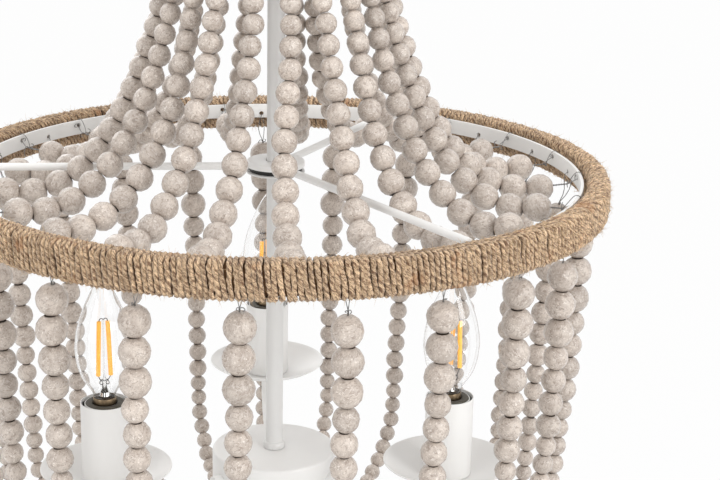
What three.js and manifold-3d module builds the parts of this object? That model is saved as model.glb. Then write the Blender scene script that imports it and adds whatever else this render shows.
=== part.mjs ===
// Beaded chandelier: a white steel frame, a twine-wrapped ring, 42 strings of wooden beads and
// three candle lights, hung by a link. Millimetres, +Z up, origin where the link hangs.
import * as THREE from "three";
import { mergeVertices } from "three/addons/utils/BufferGeometryUtils.js";
import Module from "manifold-3d";

const wasm = await Module();
wasm.setup();

// Driving dimensions. Heights are above the top edge of the hoop.
const GAP = 0.3; // clearance between pieces that rest on one another

const HOOP_INNER_RADIUS = 192;
const HOOP_THICKNESS = 2;
const HOOP_HEIGHT = 10;
const HOLE_RADIUS = 1.6;
const UPPER_HOLE_DROP = 3.6;
const LOWER_HOLE_DROP = 6.8;
const HOLES_PER_ROW = 21;
const HOLE_PATTERN_TURN = 0.64; // degrees, how far the holes are turned from the lights

const WRAP_SPACE = 2; // between the hoop and the wrap, bridged by the spokes' ends
const WRAP_THICKNESS = 14.5;
const WRAP_HEIGHT = 23.2;
const WRAP_CORNER = 3.5;
const WRAP_RISE = 4.1; // how far the wrap stands above the hoop

const SPOKES = 3;
const SPOKE_RADIUS = 2.4;
const SPOKE_SINK = 0.2; // how deep a spoke is welded into the hoop's edge
const HUB_RADIUS = 12;
const WASHER_RADIUS = 18.5;
const WASHER_THICKNESS = 1.3;

const STEM_RADIUS = 5.6;
const COLLAR_RADIUS = 7.2;
const COLLAR_HEIGHT = 4.2;
const STEM_ABOVE_CROWN = 9.7;

const WIRE_RADIUS = 0.8;
const UPPER_BEADS = 17;
const UPPER_BEAD_LARGE = 17.9;
const UPPER_BEAD_SMALL = 12.2;
const UPPER_GRADED_BEADS = 13;
const UPPER_WIRE = 14;
const LOWER_BEAD_LARGE = 17.9;
const LOWER_BEAD_COUNTS = [3, 4, 5, 15]; // beads of each size, from the ring down
const LOWER_WIRE = 18.8;
const END_WIRE = 3; // bare wire at the crown and at the bottom plate

const SAG_INSET = 35; // the lowest point of an upper string, in from the hoop
const SAG_DEPTH = 11;
const CROWN_RADIUS = 56.2;
const CROWN_HEIGHT = 172;
const CROWN_SKIRT = 11;
const CROWN_WALL = 1.6;
const CROWN_DOME = 12;

const BASKET_DEPTH = 282;
const PLATE_RADIUS = 50;
const PLATE_RIM = 9;
const PLATE_WALL = 2;
const ROD_RADIUS = 4;
const FINIAL_RADIUS = 11;

const DRUM_TOP_DROP = 189.8;
const DRUM_RADIUS = 40.7;
const DRUM_HEIGHT = 36;
const DRUM_EDGE = 1.5;
const ARM_RADIUS = 4;
const ARM_COLLAR_RADIUS = 5.6;
const ARM_COLLAR_LENGTH = 6;
const ARM_DROP = 16.5; // arm's middle below the drum's top
const ARM_ROOT = 28; // where the arm is welded inside the drum
const ARM_CAP_RADIUS = 10;
const ARM_CAP_HEIGHT = 2.2;

const LIGHTS = 3;
const LIGHT_CIRCLE_RADIUS = 123.6;
const SAUCER_RADIUS = 41;
const SAUCER_FLOOR_RADIUS = 17;
const SAUCER_RIM_DROP = 174;
const SAUCER_DEPTH = 10;
const SAUCER_WALL = 1.5;
const SLEEVE_RADIUS = 15;
const SLEEVE_WALL = 1.1;
const SLEEVE_TOP_DROP = 131;
const SLEEVE_GROOVE_DEPTH = 26;
const SOCKET_RADIUS = 11;
const SOCKET_BORE = 7.5;
const SOCKET_DROP = 4.5; // the socket's top below the sleeve's rim
const SOCKET_DEPTH = 17.5;
const BULB_RADIUS = 17.5;
const BULB_BASE_RADIUS = 6.7;
const BULB_BASE_LENGTH = 24;
const BULB_GLASS_LENGTH = 79;

const LOOP_RADIUS = 11;
const LOOP_BAR = 2.6;
const LOOP_COLLAR_RADIUS = 8;
const LOOP_COLLAR_HEIGHT = 9;
const LINK_BAR = 2.5;
const LINK_HALF_WIDTH = 9;
const LINK_HALF_HEIGHT = 18;

// Numbers of facets
const HOOP_SEGMENTS = HOLES_PER_ROW + HOLES_PER_ROW;
const WRAP_SEGMENTS = 48;
const DISC_SEGMENTS = 20;
const ROUND_SEGMENTS = 12;
const ROD_SEGMENTS = 8;
const ARM_SIDES = 6;
const ARM_STEPS = 3;
const HOLE_SEGMENTS = 4;
const NECK_SIDES = 3;
const BEAD_SIDES = 4;
const PATH_SAMPLES = 16;
const HALVINGS = 40; // steps that close in on a catenary's own length

// Where an upper string's hanging curve begins, as a share of the way from its lowest point
const SAG_START_SHARE = 0.25;

// The sizes of a lower string's beads, as shares of the largest
const LOWER_BEAD_SHARES = [1, 0.844, 0.709, 0.62];

// Shares of a bead's radius: its flat end round the wire, and the corner of its square middle
const NECK_SHARE = 0.5;
const BEAD_CORNER_SHARE = 1.11;

// Half an outline of the bulb's glass, as shares of its length above the base and of its radius
const GLASS_HEIGHT_SHARES = [0.05, 0.23, 0.39, 0.57, 0.72, 0.88];
const GLASS_RADIUS_SHARES = [0.48, 0.93, 1, 0.93, 0.69, 0.36];

// The hanging lower string, as shares of the hoop's radius and of the basket's depth
const BASKET_RADIUS_SHARES = [1, 0.998, 0.9845, 0.953, 0.912, 0.767, 0.518];
const BASKET_DEPTH_SHARES = [0, 0.183, 0.404, 0.661, 0.831, 0.934, 0.982];

// Sizes worked out from the ones above
const hoopOuterRadius = HOOP_INNER_RADIUS + HOOP_THICKNESS;
const hoopMiddleRadius = HOOP_INNER_RADIUS + HOOP_THICKNESS / 2;
const holePitch = (2 * Math.PI) / HOOP_SEGMENTS;
const facetShare = Math.cos(holePitch / 2); // the hoop's flats lie inside its corners by this share
const lightTurn = Math.PI / 2;
const holeTurn = lightTurn + THREE.MathUtils.degToRad(HOLE_PATTERN_TURN);
const spokeTurn = lightTurn - Math.PI / (2 * SPOKES);
const spokeHeight = SPOKE_RADIUS - SPOKE_SINK;
const washerTopLow = spokeHeight + SPOKE_RADIUS + GAP;
const washerBottomTop = spokeHeight - SPOKE_RADIUS - GAP;
const wrapInnerRadius = hoopOuterRadius + WRAP_SPACE;
const wrapOuterRadius = wrapInnerRadius + WRAP_THICKNESS;
const sagRadius = HOOP_INNER_RADIUS - SAG_INSET;
const sagHeight = CROWN_HEIGHT + SAG_DEPTH;
const sagCurve = catenaryLength(sagRadius - CROWN_RADIUS, sagHeight);
const crownLow = CROWN_HEIGHT + GAP;
const crownTop = crownLow + CROWN_SKIRT + CROWN_DOME;
const stemTop = crownTop + STEM_ABOVE_CROWN;
const drumTop = -DRUM_TOP_DROP;
const drumBottom = drumTop - DRUM_HEIGHT;
const armHeight = drumTop - ARM_DROP;
const saucerBottom = -SAUCER_RIM_DROP - SAUCER_DEPTH;
const saucerFloor = saucerBottom + SAUCER_WALL;
const armTop = saucerBottom - GAP;
const sleeveBottom = saucerFloor + GAP;
const sleeveTop = -SLEEVE_TOP_DROP;
const socketTop = sleeveTop - SOCKET_DROP;
const socketFloor = socketTop - SOCKET_DEPTH;
const bulbFoot = socketFloor + GAP;
const glassFoot = bulbFoot + BULB_BASE_LENGTH;
const loopFoot = stemTop + GAP;
const loopCentre = loopFoot + LOOP_COLLAR_HEIGHT + LOOP_RADIUS;
const pivotHeight = loopCentre + LOOP_RADIUS - LOOP_BAR - GAP - LINK_BAR;
const linkCentre = pivotHeight + LINK_HALF_HEIGHT;
const hangHeight = linkCentre + LINK_HALF_HEIGHT - LINK_BAR;

// The own length (horizontal pull over weight) of the catenary that rises to a height over a width
function catenaryLength(width, height) {
  let low = 0;
  let high = width + height;
  for (let i = 0; i < HALVINGS; i += 1) {
    const middle = (low + high) / 2;
    if (middle * Math.acosh(1 + height / middle) < width) low = middle;
    else high = middle;
  }
  return (low + high) / 2;
}

// Materials
function paint(colour, roughness, metalness) {
  return new THREE.MeshStandardMaterial({ color: colour, roughness, metalness });
}
const whitePaint = paint(0xe6e4e2, 0.45, 0);
const galvanisedSteel = paint(0x9a9a98, 0.4, 0.9);
const jute = paint(0xb9966f, 0.95, 0);
const washedWood = paint(0xcdc2b8, 0.55, 0);
const clearGlass = new THREE.MeshStandardMaterial({
  color: 0xf4f6f6,
  roughness: 0.03,
  metalness: 0,
  transparent: true,
  opacity: 0.3,
});

// Solids: each geometry becomes a manifold for joining and cutting, and then a mesh
function solidOf(geometry) {
  const plain = geometry.clone();
  plain.deleteAttribute("normal");
  plain.deleteAttribute("uv");
  const merged = mergeVertices(plain);
  const triVerts = new Uint32Array(merged.index.array);
  const vertProperties = merged.attributes.position.array;
  const made = new wasm.Manifold(new wasm.Mesh({ numProp: 3, vertProperties, triVerts }));
  if (made.volume() > 0) return made;
  for (let i = 0; i < triVerts.length; i += 3) {
    [triVerts[i + 1], triVerts[i + 2]] = [triVerts[i + 2], triVerts[i + 1]];
  }
  return new wasm.Manifold(new wasm.Mesh({ numProp: 3, vertProperties, triVerts }));
}

function geometryOf(solid) {
  const mesh = solid.getMesh();
  const geometry = new THREE.BufferGeometry();
  const positions = new Float32Array(mesh.numVert * 3);
  for (let i = 0; i < mesh.numVert; i += 1) {
    const start = i * mesh.numProp;
    positions.set(mesh.vertProperties.subarray(start, start + 3), i * 3);
  }
  geometry.setAttribute("position", new THREE.BufferAttribute(positions, 3));
  geometry.setIndex(new THREE.BufferAttribute(mesh.triVerts, 1));
  geometry.computeVertexNormals();
  return geometry;
}

function join(geometries) {
  return geometries.map(solidOf).reduce((whole, piece) => whole.add(piece));
}

const chandelier = new THREE.Group();
const fixture = new THREE.Group();
fixture.position.z = -hangHeight;
chandelier.add(fixture);

function addPiece(name, solid, material) {
  const mesh = new THREE.Mesh(geometryOf(solid), material);
  mesh.name = name;
  fixture.add(mesh);
  return mesh;
}

// Revolves a half outline of [radius, height] pairs about the Z axis
function revolve(outline, segments, turn = 0) {
  const points = outline.map(([radius, height]) => new THREE.Vector2(radius, height));
  const geometry = new THREE.LatheGeometry(points, segments, turn + Math.PI / 2);
  return geometry.rotateX(Math.PI / 2);
}

// A ring whose outline closes on itself
function revolveRing(outline, segments, turn) {
  return revolve([...outline, outline[0]], segments, turn);
}

function rod(radius, low, high, segments = ROD_SEGMENTS) {
  return new THREE.CylinderGeometry(radius, radius, high - low, segments)
    .rotateX(Math.PI / 2)
    .translate(0, 0, (low + high) / 2);
}

// A point at a radius, an angle and a height
function polar(radius, angle, height) {
  return new THREE.Vector3(radius * Math.cos(angle), radius * Math.sin(angle), height);
}

// Joins two rings of points, which may differ in their numbers of points, with triangles
function band(first, second, triangles) {
  let i = 0;
  let j = 0;
  while (i < first.length || j < second.length) {
    const a = first[i % first.length];
    const b = second[j % second.length];
    const firstNext = (i + 1) / first.length;
    const secondNext = (j + 1) / second.length;
    if (i < first.length && (j === second.length || firstNext <= secondNext)) {
      triangles.push(a, first[(i + 1) % first.length], b);
      i += 1;
    } else {
      triangles.push(a, second[(j + 1) % second.length], b);
      j += 1;
    }
  }
}

function cap(ring, triangles) {
  for (let i = 1; i < ring.length - 1; i += 1) {
    triangles.push(ring[0], ring[i], ring[i + 1]);
  }
}

// Skins a row of rings into one closed tube. Each ring is { at, along, across, radius, sides }.
function skin(rings, closed = false) {
  const positions = [];
  const triangles = [];
  const loops = rings.map(({ at, along, across, radius, sides }) => {
    const third = new THREE.Vector3().crossVectors(along, across);
    const loop = [];
    for (let i = 0; i < sides; i += 1) {
      const angle = ((i + 1 / 2) / sides) * 2 * Math.PI;
      const point = at
        .clone()
        .addScaledVector(across, radius * Math.cos(angle))
        .addScaledVector(third, radius * Math.sin(angle));
      loop.push(positions.length / 3);
      positions.push(point.x, point.y, point.z);
    }
    return loop;
  });
  for (let i = 0; i + 1 < loops.length; i += 1) band(loops[i], loops[i + 1], triangles);
  if (closed) {
    band(loops[loops.length - 1], loops[0], triangles);
  } else {
    cap([...loops[0]].reverse(), triangles);
    cap(loops[loops.length - 1], triangles);
  }
  const geometry = new THREE.BufferGeometry();
  geometry.setAttribute("position", new THREE.Float32BufferAttribute(positions, 3));
  geometry.setIndex(triangles);
  return geometry;
}

// Strings of beads: the most skilful part, graded beads threaded on a hanging curve
function beadString(points, azimuth, beads, firstWire) {
  const path = new THREE.CatmullRomCurve3(
    points.map(([radius, height]) => polar(radius, azimuth, height)),
    false,
    "centripetal",
  );
  path.arcLengthDivisions = PATH_SAMPLES * PATH_SAMPLES;
  const across = polar(1, azimuth + Math.PI / 2, 0);
  const length = path.getLength();
  const threaded = beads.reduce((sum, bead) => sum + bead, 0);
  const stretch = (length - firstWire - END_WIRE) / threaded;
  const rings = [];
  const ringAt = (distance, radius, sides) => {
    const share = THREE.MathUtils.clamp(distance / length, 0, 1);
    const along = path.getTangentAt(share);
    rings.push({ at: path.getPointAt(share), along, across, radius, sides });
  };
  ringAt(0, WIRE_RADIUS, NECK_SIDES);
  ringAt(firstWire, WIRE_RADIUS, NECK_SIDES);
  let distance = firstWire;
  beads.forEach((bead, i) => {
    const pitch = bead * stretch;
    ringAt(distance + pitch / 2, (bead / 2) * BEAD_CORNER_SHARE, BEAD_SIDES);
    distance += pitch;
    if (i + 1 < beads.length) {
      ringAt(distance, ((bead + beads[i + 1]) / 4) * NECK_SHARE, NECK_SIDES);
    }
  });
  ringAt(distance, WIRE_RADIUS, NECK_SIDES);
  ringAt(length, WIRE_RADIUS, NECK_SIDES);
  return skin(rings);
}

// Upper beads, from the ring up: each smaller than the one before, and the last few equal
function gradedBeads() {
  return Array.from({ length: UPPER_BEADS }, (_, i) => {
    const share = Math.min((i + 1) / UPPER_GRADED_BEADS, 1);
    return THREE.MathUtils.lerp(UPPER_BEAD_LARGE, UPPER_BEAD_SMALL, share);
  });
}

// Lower beads, from the ring down: a few of each size
function steppedBeads() {
  return LOWER_BEAD_SHARES.flatMap((share, i) =>
    new Array(LOWER_BEAD_COUNTS[i]).fill(LOWER_BEAD_LARGE * share),
  );
}

function upperStringPoints() {
  const wall = HOOP_INNER_RADIUS * facetShare;
  const points = [[wall - GAP - WIRE_RADIUS, -(UPPER_HOLE_DROP + HOLE_RADIUS + WIRE_RADIUS)]];
  const last = (sagRadius - CROWN_RADIUS) / sagCurve;
  const first = (-SAG_INSET / sagCurve) * SAG_START_SHARE;
  for (let i = 0; i <= PATH_SAMPLES; i += 1) {
    const u = THREE.MathUtils.lerp(first, last, i / PATH_SAMPLES);
    points.push([sagRadius - sagCurve * u, sagCurve * (Math.cosh(u) - 1) - SAG_DEPTH]);
  }
  return points;
}

function lowerStringPoints() {
  const top = -HOOP_HEIGHT - GAP;
  const depth = BASKET_DEPTH + top;
  const points = BASKET_RADIUS_SHARES.map((radiusShare, i) => [
    hoopMiddleRadius * facetShare * radiusShare,
    top - depth * BASKET_DEPTH_SHARES[i],
  ]);
  points.push([PLATE_RADIUS + GAP, -BASKET_DEPTH]);
  return points;
}

function buildStrings() {
  const upperBeads = gradedBeads();
  const lowerBeads = steppedBeads();
  for (let i = 0; i < HOLES_PER_ROW; i += 1) {
    const number = String(i + 1).padStart(2, "0");
    const lowerAzimuth = holeTurn + 2 * i * holePitch;
    const upperAzimuth = lowerAzimuth + holePitch;
    const upper = beadString(upperStringPoints(), upperAzimuth, upperBeads, UPPER_WIRE);
    const lower = beadString(lowerStringPoints(), lowerAzimuth, lowerBeads, LOWER_WIRE);
    addPiece(`upper_string_${number}`, solidOf(upper), washedWood);
    addPiece(`lower_string_${number}`, solidOf(lower), washedWood);
  }
}

// Ring frame: the drilled hoop, and three spokes on its top edge that meet in a hub
function buildRingFrame() {
  const hoop = revolveRing(
    [
      [HOOP_INNER_RADIUS, -HOOP_HEIGHT],
      [hoopOuterRadius, -HOOP_HEIGHT],
      [hoopOuterRadius, 0],
      [HOOP_INNER_RADIUS, 0],
    ],
    HOOP_SEGMENTS,
    holeTurn + holePitch / 2,
  );
  const spokeLength = wrapInnerRadius * Math.cos(Math.PI / WRAP_SEGMENTS) - GAP;
  const spokes = Array.from({ length: SPOKES }, (_, i) =>
    rod(SPOKE_RADIUS, 0, spokeLength)
      .rotateY(Math.PI / 2)
      .rotateZ(spokeTurn + (2 * Math.PI * i) / SPOKES)
      .translate(0, 0, spokeHeight),
  );
  const hub = rod(HUB_RADIUS, spokeHeight - SPOKE_RADIUS, spokeHeight + SPOKE_RADIUS, ROUND_SEGMENTS);
  const bore = rod(STEM_RADIUS + GAP, -WRAP_HEIGHT, WRAP_HEIGHT, ROUND_SEGMENTS);
  const drillStart = HOOP_INNER_RADIUS - HOOP_THICKNESS;
  const drillEnd = hoopOuterRadius + HOOP_THICKNESS;
  const drills = Array.from({ length: HOOP_SEGMENTS }, (_, i) => {
    const drop = i % 2 === 0 ? LOWER_HOLE_DROP : UPPER_HOLE_DROP;
    return rod(HOLE_RADIUS, drillStart, drillEnd, HOLE_SEGMENTS)
      .rotateY(Math.PI / 2)
      .rotateZ(holeTurn + i * holePitch)
      .translate(0, 0, -drop);
  });
  let frame = join([hoop, ...spokes, hub]).subtract(solidOf(bore));
  drills.forEach((drill) => {
    frame = frame.subtract(solidOf(drill));
  });
  addPiece("ring_frame", frame, whitePaint);
}

function buildWrap() {
  const inner = wrapInnerRadius;
  const outer = wrapOuterRadius;
  const high = WRAP_RISE;
  const low = WRAP_RISE - WRAP_HEIGHT;
  const wrap = revolveRing(
    [
      [inner + WRAP_CORNER, low],
      [outer - WRAP_CORNER, low],
      [outer, low + WRAP_CORNER],
      [outer, high - WRAP_CORNER],
      [outer - WRAP_CORNER, high],
      [inner + WRAP_CORNER, high],
      [inner, high - WRAP_CORNER],
      [inner, low + WRAP_CORNER],
    ],
    WRAP_SEGMENTS,
    spokeTurn + Math.PI / WRAP_SEGMENTS,
  );
  addPiece("jute_wrap", solidOf(wrap), jute);
}

function buildHubWasher() {
  const washer = revolveRing(
    [
      [STEM_RADIUS + GAP, washerTopLow],
      [WASHER_RADIUS, washerTopLow],
      [WASHER_RADIUS, washerTopLow + WASHER_THICKNESS],
      [STEM_RADIUS + GAP, washerTopLow + WASHER_THICKNESS],
    ],
    ROUND_SEGMENTS,
  );
  addPiece("hub_washer", solidOf(washer), whitePaint);
}

// Stem: one tube from the loop to the drum, with the hub's lower disc and a foot collar
function buildStem() {
  const foot = drumTop + GAP;
  addPiece(
    "stem",
    solidOf(
      revolve(
        [
          [0, foot],
          [COLLAR_RADIUS, foot],
          [COLLAR_RADIUS, foot + COLLAR_HEIGHT / 2],
          [STEM_RADIUS, foot + COLLAR_HEIGHT],
          [STEM_RADIUS, washerBottomTop - WASHER_THICKNESS],
          [WASHER_RADIUS, washerBottomTop - WASHER_THICKNESS],
          [WASHER_RADIUS, washerBottomTop],
          [STEM_RADIUS, washerBottomTop],
          [STEM_RADIUS, stemTop],
          [0, stemTop],
        ],
        ROUND_SEGMENTS,
      ),
    ),
    whitePaint,
  );
}

// Crown: a shallow pressed cap whose skirt carries the upper strings
function buildCrown() {
  const low = crownLow;
  const high = crownLow + CROWN_SKIRT;
  const outer = CROWN_RADIUS + CROWN_WALL / 2;
  const inner = CROWN_RADIUS - CROWN_WALL / 2;
  const bore = STEM_RADIUS + GAP;
  const crown = revolveRing(
    [
      [outer, low],
      [outer, high],
      [bore + 2 * CROWN_WALL, crownTop],
      [bore, crownTop],
      [bore, crownTop - CROWN_WALL],
      [inner, high - CROWN_WALL],
      [inner, low],
    ],
    DISC_SEGMENTS,
  );
  addPiece("crown", solidOf(crown), whitePaint);
}

// Drum with its three arms, each a tube bent up under a saucer
function armGeometries(azimuth) {
  const bend = armTop - armHeight;
  const bendStart = LIGHT_CIRCLE_RADIUS - bend;
  const across = polar(1, azimuth + Math.PI / 2, 0);
  const ringAt = (radius, height, tilt) => ({
    at: polar(radius, azimuth, height),
    along: polar(Math.cos(tilt), azimuth, Math.sin(tilt)),
    across,
    radius: ARM_RADIUS,
    sides: ARM_SIDES,
  });
  const rings = [ringAt(ARM_ROOT, armHeight, 0)];
  for (let i = 0; i <= ARM_STEPS; i += 1) {
    const tilt = ((i / ARM_STEPS) * Math.PI) / 2;
    const out = bendStart + bend * Math.sin(tilt);
    rings.push(ringAt(out, armTop - bend * Math.cos(tilt), tilt));
  }
  const collar = rod(ARM_COLLAR_RADIUS, ARM_ROOT, DRUM_RADIUS + ARM_COLLAR_LENGTH)
    .rotateY(Math.PI / 2)
    .rotateZ(azimuth)
    .translate(0, 0, armHeight);
  const seat = polar(LIGHT_CIRCLE_RADIUS, azimuth, 0);
  const armCap = rod(ARM_CAP_RADIUS, armTop - ARM_CAP_HEIGHT, armTop, ROUND_SEGMENTS);
  return [skin(rings), collar, armCap.translate(seat.x, seat.y, 0)];
}

function buildDrum() {
  const drum = revolve(
    [
      [0, drumBottom],
      [DRUM_RADIUS - DRUM_EDGE, drumBottom],
      [DRUM_RADIUS, drumBottom + DRUM_EDGE],
      [DRUM_RADIUS, drumTop - DRUM_EDGE],
      [DRUM_RADIUS - DRUM_EDGE, drumTop],
      [0, drumTop],
    ],
    DISC_SEGMENTS,
  );
  const arms = Array.from({ length: LIGHTS }, (_, i) => lightAzimuth(i)).flatMap(armGeometries);
  addPiece("drum_and_arms", join([drum, ...arms]), whitePaint);
}

// Bottom plate that gathers the lower strings, on a rod under the drum, with a turned finial
function buildBottomPlate() {
  const plateTop = -BASKET_DEPTH + PLATE_RIM / 2;
  const plateLow = -BASKET_DEPTH - PLATE_RIM / 2;
  const ballCentre = plateLow - FINIAL_RADIUS;
  const outline = [
    [0, ballCentre - FINIAL_RADIUS],
    [FINIAL_RADIUS * Math.SQRT1_2, ballCentre - FINIAL_RADIUS * Math.SQRT1_2],
    [FINIAL_RADIUS, ballCentre],
    [ROD_RADIUS, -BASKET_DEPTH - PLATE_WALL],
    [PLATE_RADIUS - PLATE_WALL, -BASKET_DEPTH - PLATE_WALL],
    [PLATE_RADIUS - PLATE_WALL, plateLow],
    [PLATE_RADIUS, plateLow],
    [PLATE_RADIUS, plateTop],
    [PLATE_RADIUS - PLATE_WALL, plateTop],
    [PLATE_RADIUS - PLATE_WALL, -BASKET_DEPTH],
    [ROD_RADIUS, -BASKET_DEPTH],
    [ROD_RADIUS, drumBottom - GAP],
    [0, drumBottom - GAP],
  ];
  addPiece("bottom_plate", solidOf(revolve(outline, DISC_SEGMENTS)), whitePaint);
}

// Lights: saucer, sleeve with its socket, and candle bulb
function lightAzimuth(i) {
  return lightTurn + (2 * Math.PI * i) / LIGHTS;
}

function saucerOutline() {
  const rim = -SAUCER_RIM_DROP;
  const flare = (SAUCER_RADIUS + SAUCER_FLOOR_RADIUS) / 2;
  const flareRise = SAUCER_DEPTH / 3;
  return [
    [0, saucerBottom],
    [SAUCER_FLOOR_RADIUS, saucerBottom],
    [flare, saucerBottom + flareRise],
    [SAUCER_RADIUS, rim - SAUCER_WALL / 2],
    [SAUCER_RADIUS - SAUCER_WALL / 2, rim],
    [flare, saucerFloor + flareRise],
    [SAUCER_FLOOR_RADIUS, saucerFloor],
    [0, saucerFloor],
  ];
}

function sleeveOutline() {
  const inner = SLEEVE_RADIUS - SLEEVE_WALL;
  const grooveFloor = sleeveTop - SLEEVE_GROOVE_DEPTH;
  return [
    [0, sleeveBottom],
    [SLEEVE_RADIUS, sleeveBottom],
    [SLEEVE_RADIUS, sleeveTop],
    [inner, sleeveTop],
    [inner, grooveFloor],
    [SOCKET_RADIUS, grooveFloor],
    [SOCKET_RADIUS, socketTop],
    [SOCKET_BORE, socketTop],
    [SOCKET_BORE, socketFloor],
    [0, socketFloor],
  ];
}

function bulbOutline() {
  const glass = GLASS_HEIGHT_SHARES.map((heightShare, i) => [
    BULB_RADIUS * GLASS_RADIUS_SHARES[i],
    glassFoot + BULB_GLASS_LENGTH * heightShare,
  ]);
  return [
    [0, bulbFoot],
    [BULB_BASE_RADIUS, bulbFoot],
    [BULB_BASE_RADIUS, glassFoot],
    ...glass,
    [0, glassFoot + BULB_GLASS_LENGTH],
  ];
}

function buildLight(i) {
  const seat = polar(LIGHT_CIRCLE_RADIUS, lightAzimuth(i), 0);
  const atSeat = (outline) => solidOf(revolve(outline, ROUND_SEGMENTS).translate(seat.x, seat.y, 0));
  addPiece(`saucer_${i + 1}`, atSeat(saucerOutline()), whitePaint);
  addPiece(`sleeve_${i + 1}`, atSeat(sleeveOutline()), whitePaint);
  addPiece(`bulb_${i + 1}`, atSeat(bulbOutline()), clearGlass);
}

// Top loop on a collar, and the oval link that the chandelier swings on
function ovalRing(halfWidth, halfHeight, bar, centre, turn) {
  const across = polar(1, turn + Math.PI / 2, 0);
  const rings = Array.from({ length: ROUND_SEGMENTS }, (_, i) => {
    const angle = (2 * Math.PI * i) / ROUND_SEGMENTS;
    const at = polar(halfWidth * Math.cos(angle), turn, centre + halfHeight * Math.sin(angle));
    const along = polar(-halfWidth * Math.sin(angle), turn, halfHeight * Math.cos(angle));
    return { at, along: along.normalize(), across, radius: bar, sides: ARM_SIDES };
  });
  return skin(rings, true);
}

function buildHanger() {
  const collar = rod(LOOP_COLLAR_RADIUS, loopFoot, loopFoot + LOOP_COLLAR_HEIGHT, ROUND_SEGMENTS);
  const loop = ovalRing(LOOP_RADIUS, LOOP_RADIUS, LOOP_BAR, loopCentre, Math.PI / 2);
  addPiece("top_loop", join([collar, loop]), whitePaint);
  const link = ovalRing(LINK_HALF_WIDTH, LINK_HALF_HEIGHT, LINK_BAR, linkCentre, 0);
  addPiece("hanger_link", solidOf(link), galvanisedSteel);
}

buildHanger();
buildStem();
buildCrown();
buildHubWasher();
buildRingFrame();
buildWrap();
buildDrum();
buildBottomPlate();
for (let i = 0; i < LIGHTS; i += 1) buildLight(i);
buildStrings();

export default chandelier;
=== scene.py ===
import math
import random

import bpy
import numpy as np
from bpy.props import FloatProperty, FloatVectorProperty, IntProperty, PointerProperty
from mathutils import Euler, Matrix, Vector


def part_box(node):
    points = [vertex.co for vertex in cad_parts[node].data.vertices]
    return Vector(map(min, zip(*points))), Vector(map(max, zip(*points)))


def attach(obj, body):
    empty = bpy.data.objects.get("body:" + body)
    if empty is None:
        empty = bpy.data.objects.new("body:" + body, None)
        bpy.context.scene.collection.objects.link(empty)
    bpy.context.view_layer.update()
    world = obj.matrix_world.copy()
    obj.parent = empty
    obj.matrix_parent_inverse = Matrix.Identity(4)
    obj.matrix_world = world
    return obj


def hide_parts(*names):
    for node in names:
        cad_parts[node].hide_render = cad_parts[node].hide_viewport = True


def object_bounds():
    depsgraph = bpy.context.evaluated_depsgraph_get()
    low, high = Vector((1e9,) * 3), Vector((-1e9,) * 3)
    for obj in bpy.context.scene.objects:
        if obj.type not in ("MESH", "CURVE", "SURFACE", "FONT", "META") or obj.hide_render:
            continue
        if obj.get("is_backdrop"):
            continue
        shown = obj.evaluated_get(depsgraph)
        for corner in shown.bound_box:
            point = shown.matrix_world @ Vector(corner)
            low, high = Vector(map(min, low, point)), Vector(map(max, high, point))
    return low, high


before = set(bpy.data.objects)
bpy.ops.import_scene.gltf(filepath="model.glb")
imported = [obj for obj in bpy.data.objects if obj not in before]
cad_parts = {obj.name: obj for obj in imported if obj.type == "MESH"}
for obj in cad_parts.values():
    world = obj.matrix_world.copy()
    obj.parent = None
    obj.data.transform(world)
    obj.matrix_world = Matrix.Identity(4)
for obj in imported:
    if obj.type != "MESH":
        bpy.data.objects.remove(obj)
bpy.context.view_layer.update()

bl_info = {
    "name": "Beaded chandelier",
    "version": (1, 0, 0),
    "blender": (4, 5, 0),
    "location": "View3D > Sidebar > Chandelier",
    "description": "Builds a beaded chandelier round its packed solids",
    "category": "Object",
}

MM = 0.001
TURN = 2 * math.pi
SEED = 20
GAP = 0.3  # clearance between neighbouring pieces

# Ring
HOOP_INNER = 192.0
HOOP_THICKNESS = 2.0
HOOP_HEIGHT = 10.0
HOLE_RADIUS = 1.6
UPPER_HOLE = -3.6
LOWER_HOLE = -6.8
STRINGS = 21
HOLE_TURN = math.radians(90.64)
HOLE_PITCH = TURN / (2 * STRINGS)
HOOP_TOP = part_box("ring_frame")[0].z / MM + HOOP_HEIGHT
SPOKES = 3
SPOKE_RADIUS = 2.4
SPOKE_HEIGHT = 2.2
SPOKE_TURN = math.radians(60)

# Twine wrap
WRAP_INNER = 196.0
WRAP_OUTER = 210.5
WRAP_LOW = -19.4
WRAP_HIGH = 4.3
WRAP_CORNER = 4.6
TWINE_SIDES = 6
TWINE_STEP = 1.4
HIDDEN_STEP = 4
TWIST_LENGTH = 8.8
PLY_DEPTH = 0.27  # how far the valleys between the plies go in, in shares of the radius
TWINE_LEAN = 0.7  # how far a turn leans over the wrap's face, in mm each way from the middle
FIBRES = 8000

# Strings
UPPER_BEADS = 17
UPPER_GRADED_BEADS = 13
LOWER_BEAD_COUNTS = (3, 4, 5, 15)
LOWER_BEAD_STEPS = (0, 0.41, 0.77, 1)  # from the largest bead towards the smallest
UPPER_WIRE = 14.0
LOWER_WIRE = 18.8
END_WIRE = 3.0
SAG_INSET = 35.0
SAG_DEPTH = 11.0
SAG_START_SHARE = 0.25
CROWN_HEIGHT = 172.0
CROWN_RADIUS = 56.2
BASKET_DEPTH = 282.0
PLATE_RADIUS = 50.0
BASKET_RADIUS_SHARES = (1, 0.998, 0.9845, 0.953, 0.912, 0.767, 0.518)
BASKET_DEPTH_SHARES = (0, 0.183, 0.404, 0.661, 0.831, 0.934, 0.982)
BEAD_MERIDIANS = 14
BEAD_BANDS = 6
BEAD_FLAT = 0.39  # radius of a bead's flat ends, in shares of its own
BEAD_FULLNESS = 1.035  # a bead's diameter, in shares of its room on the wire
BEAD_REACH = 0.98  # a bead's length, in shares of its room on the wire

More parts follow.
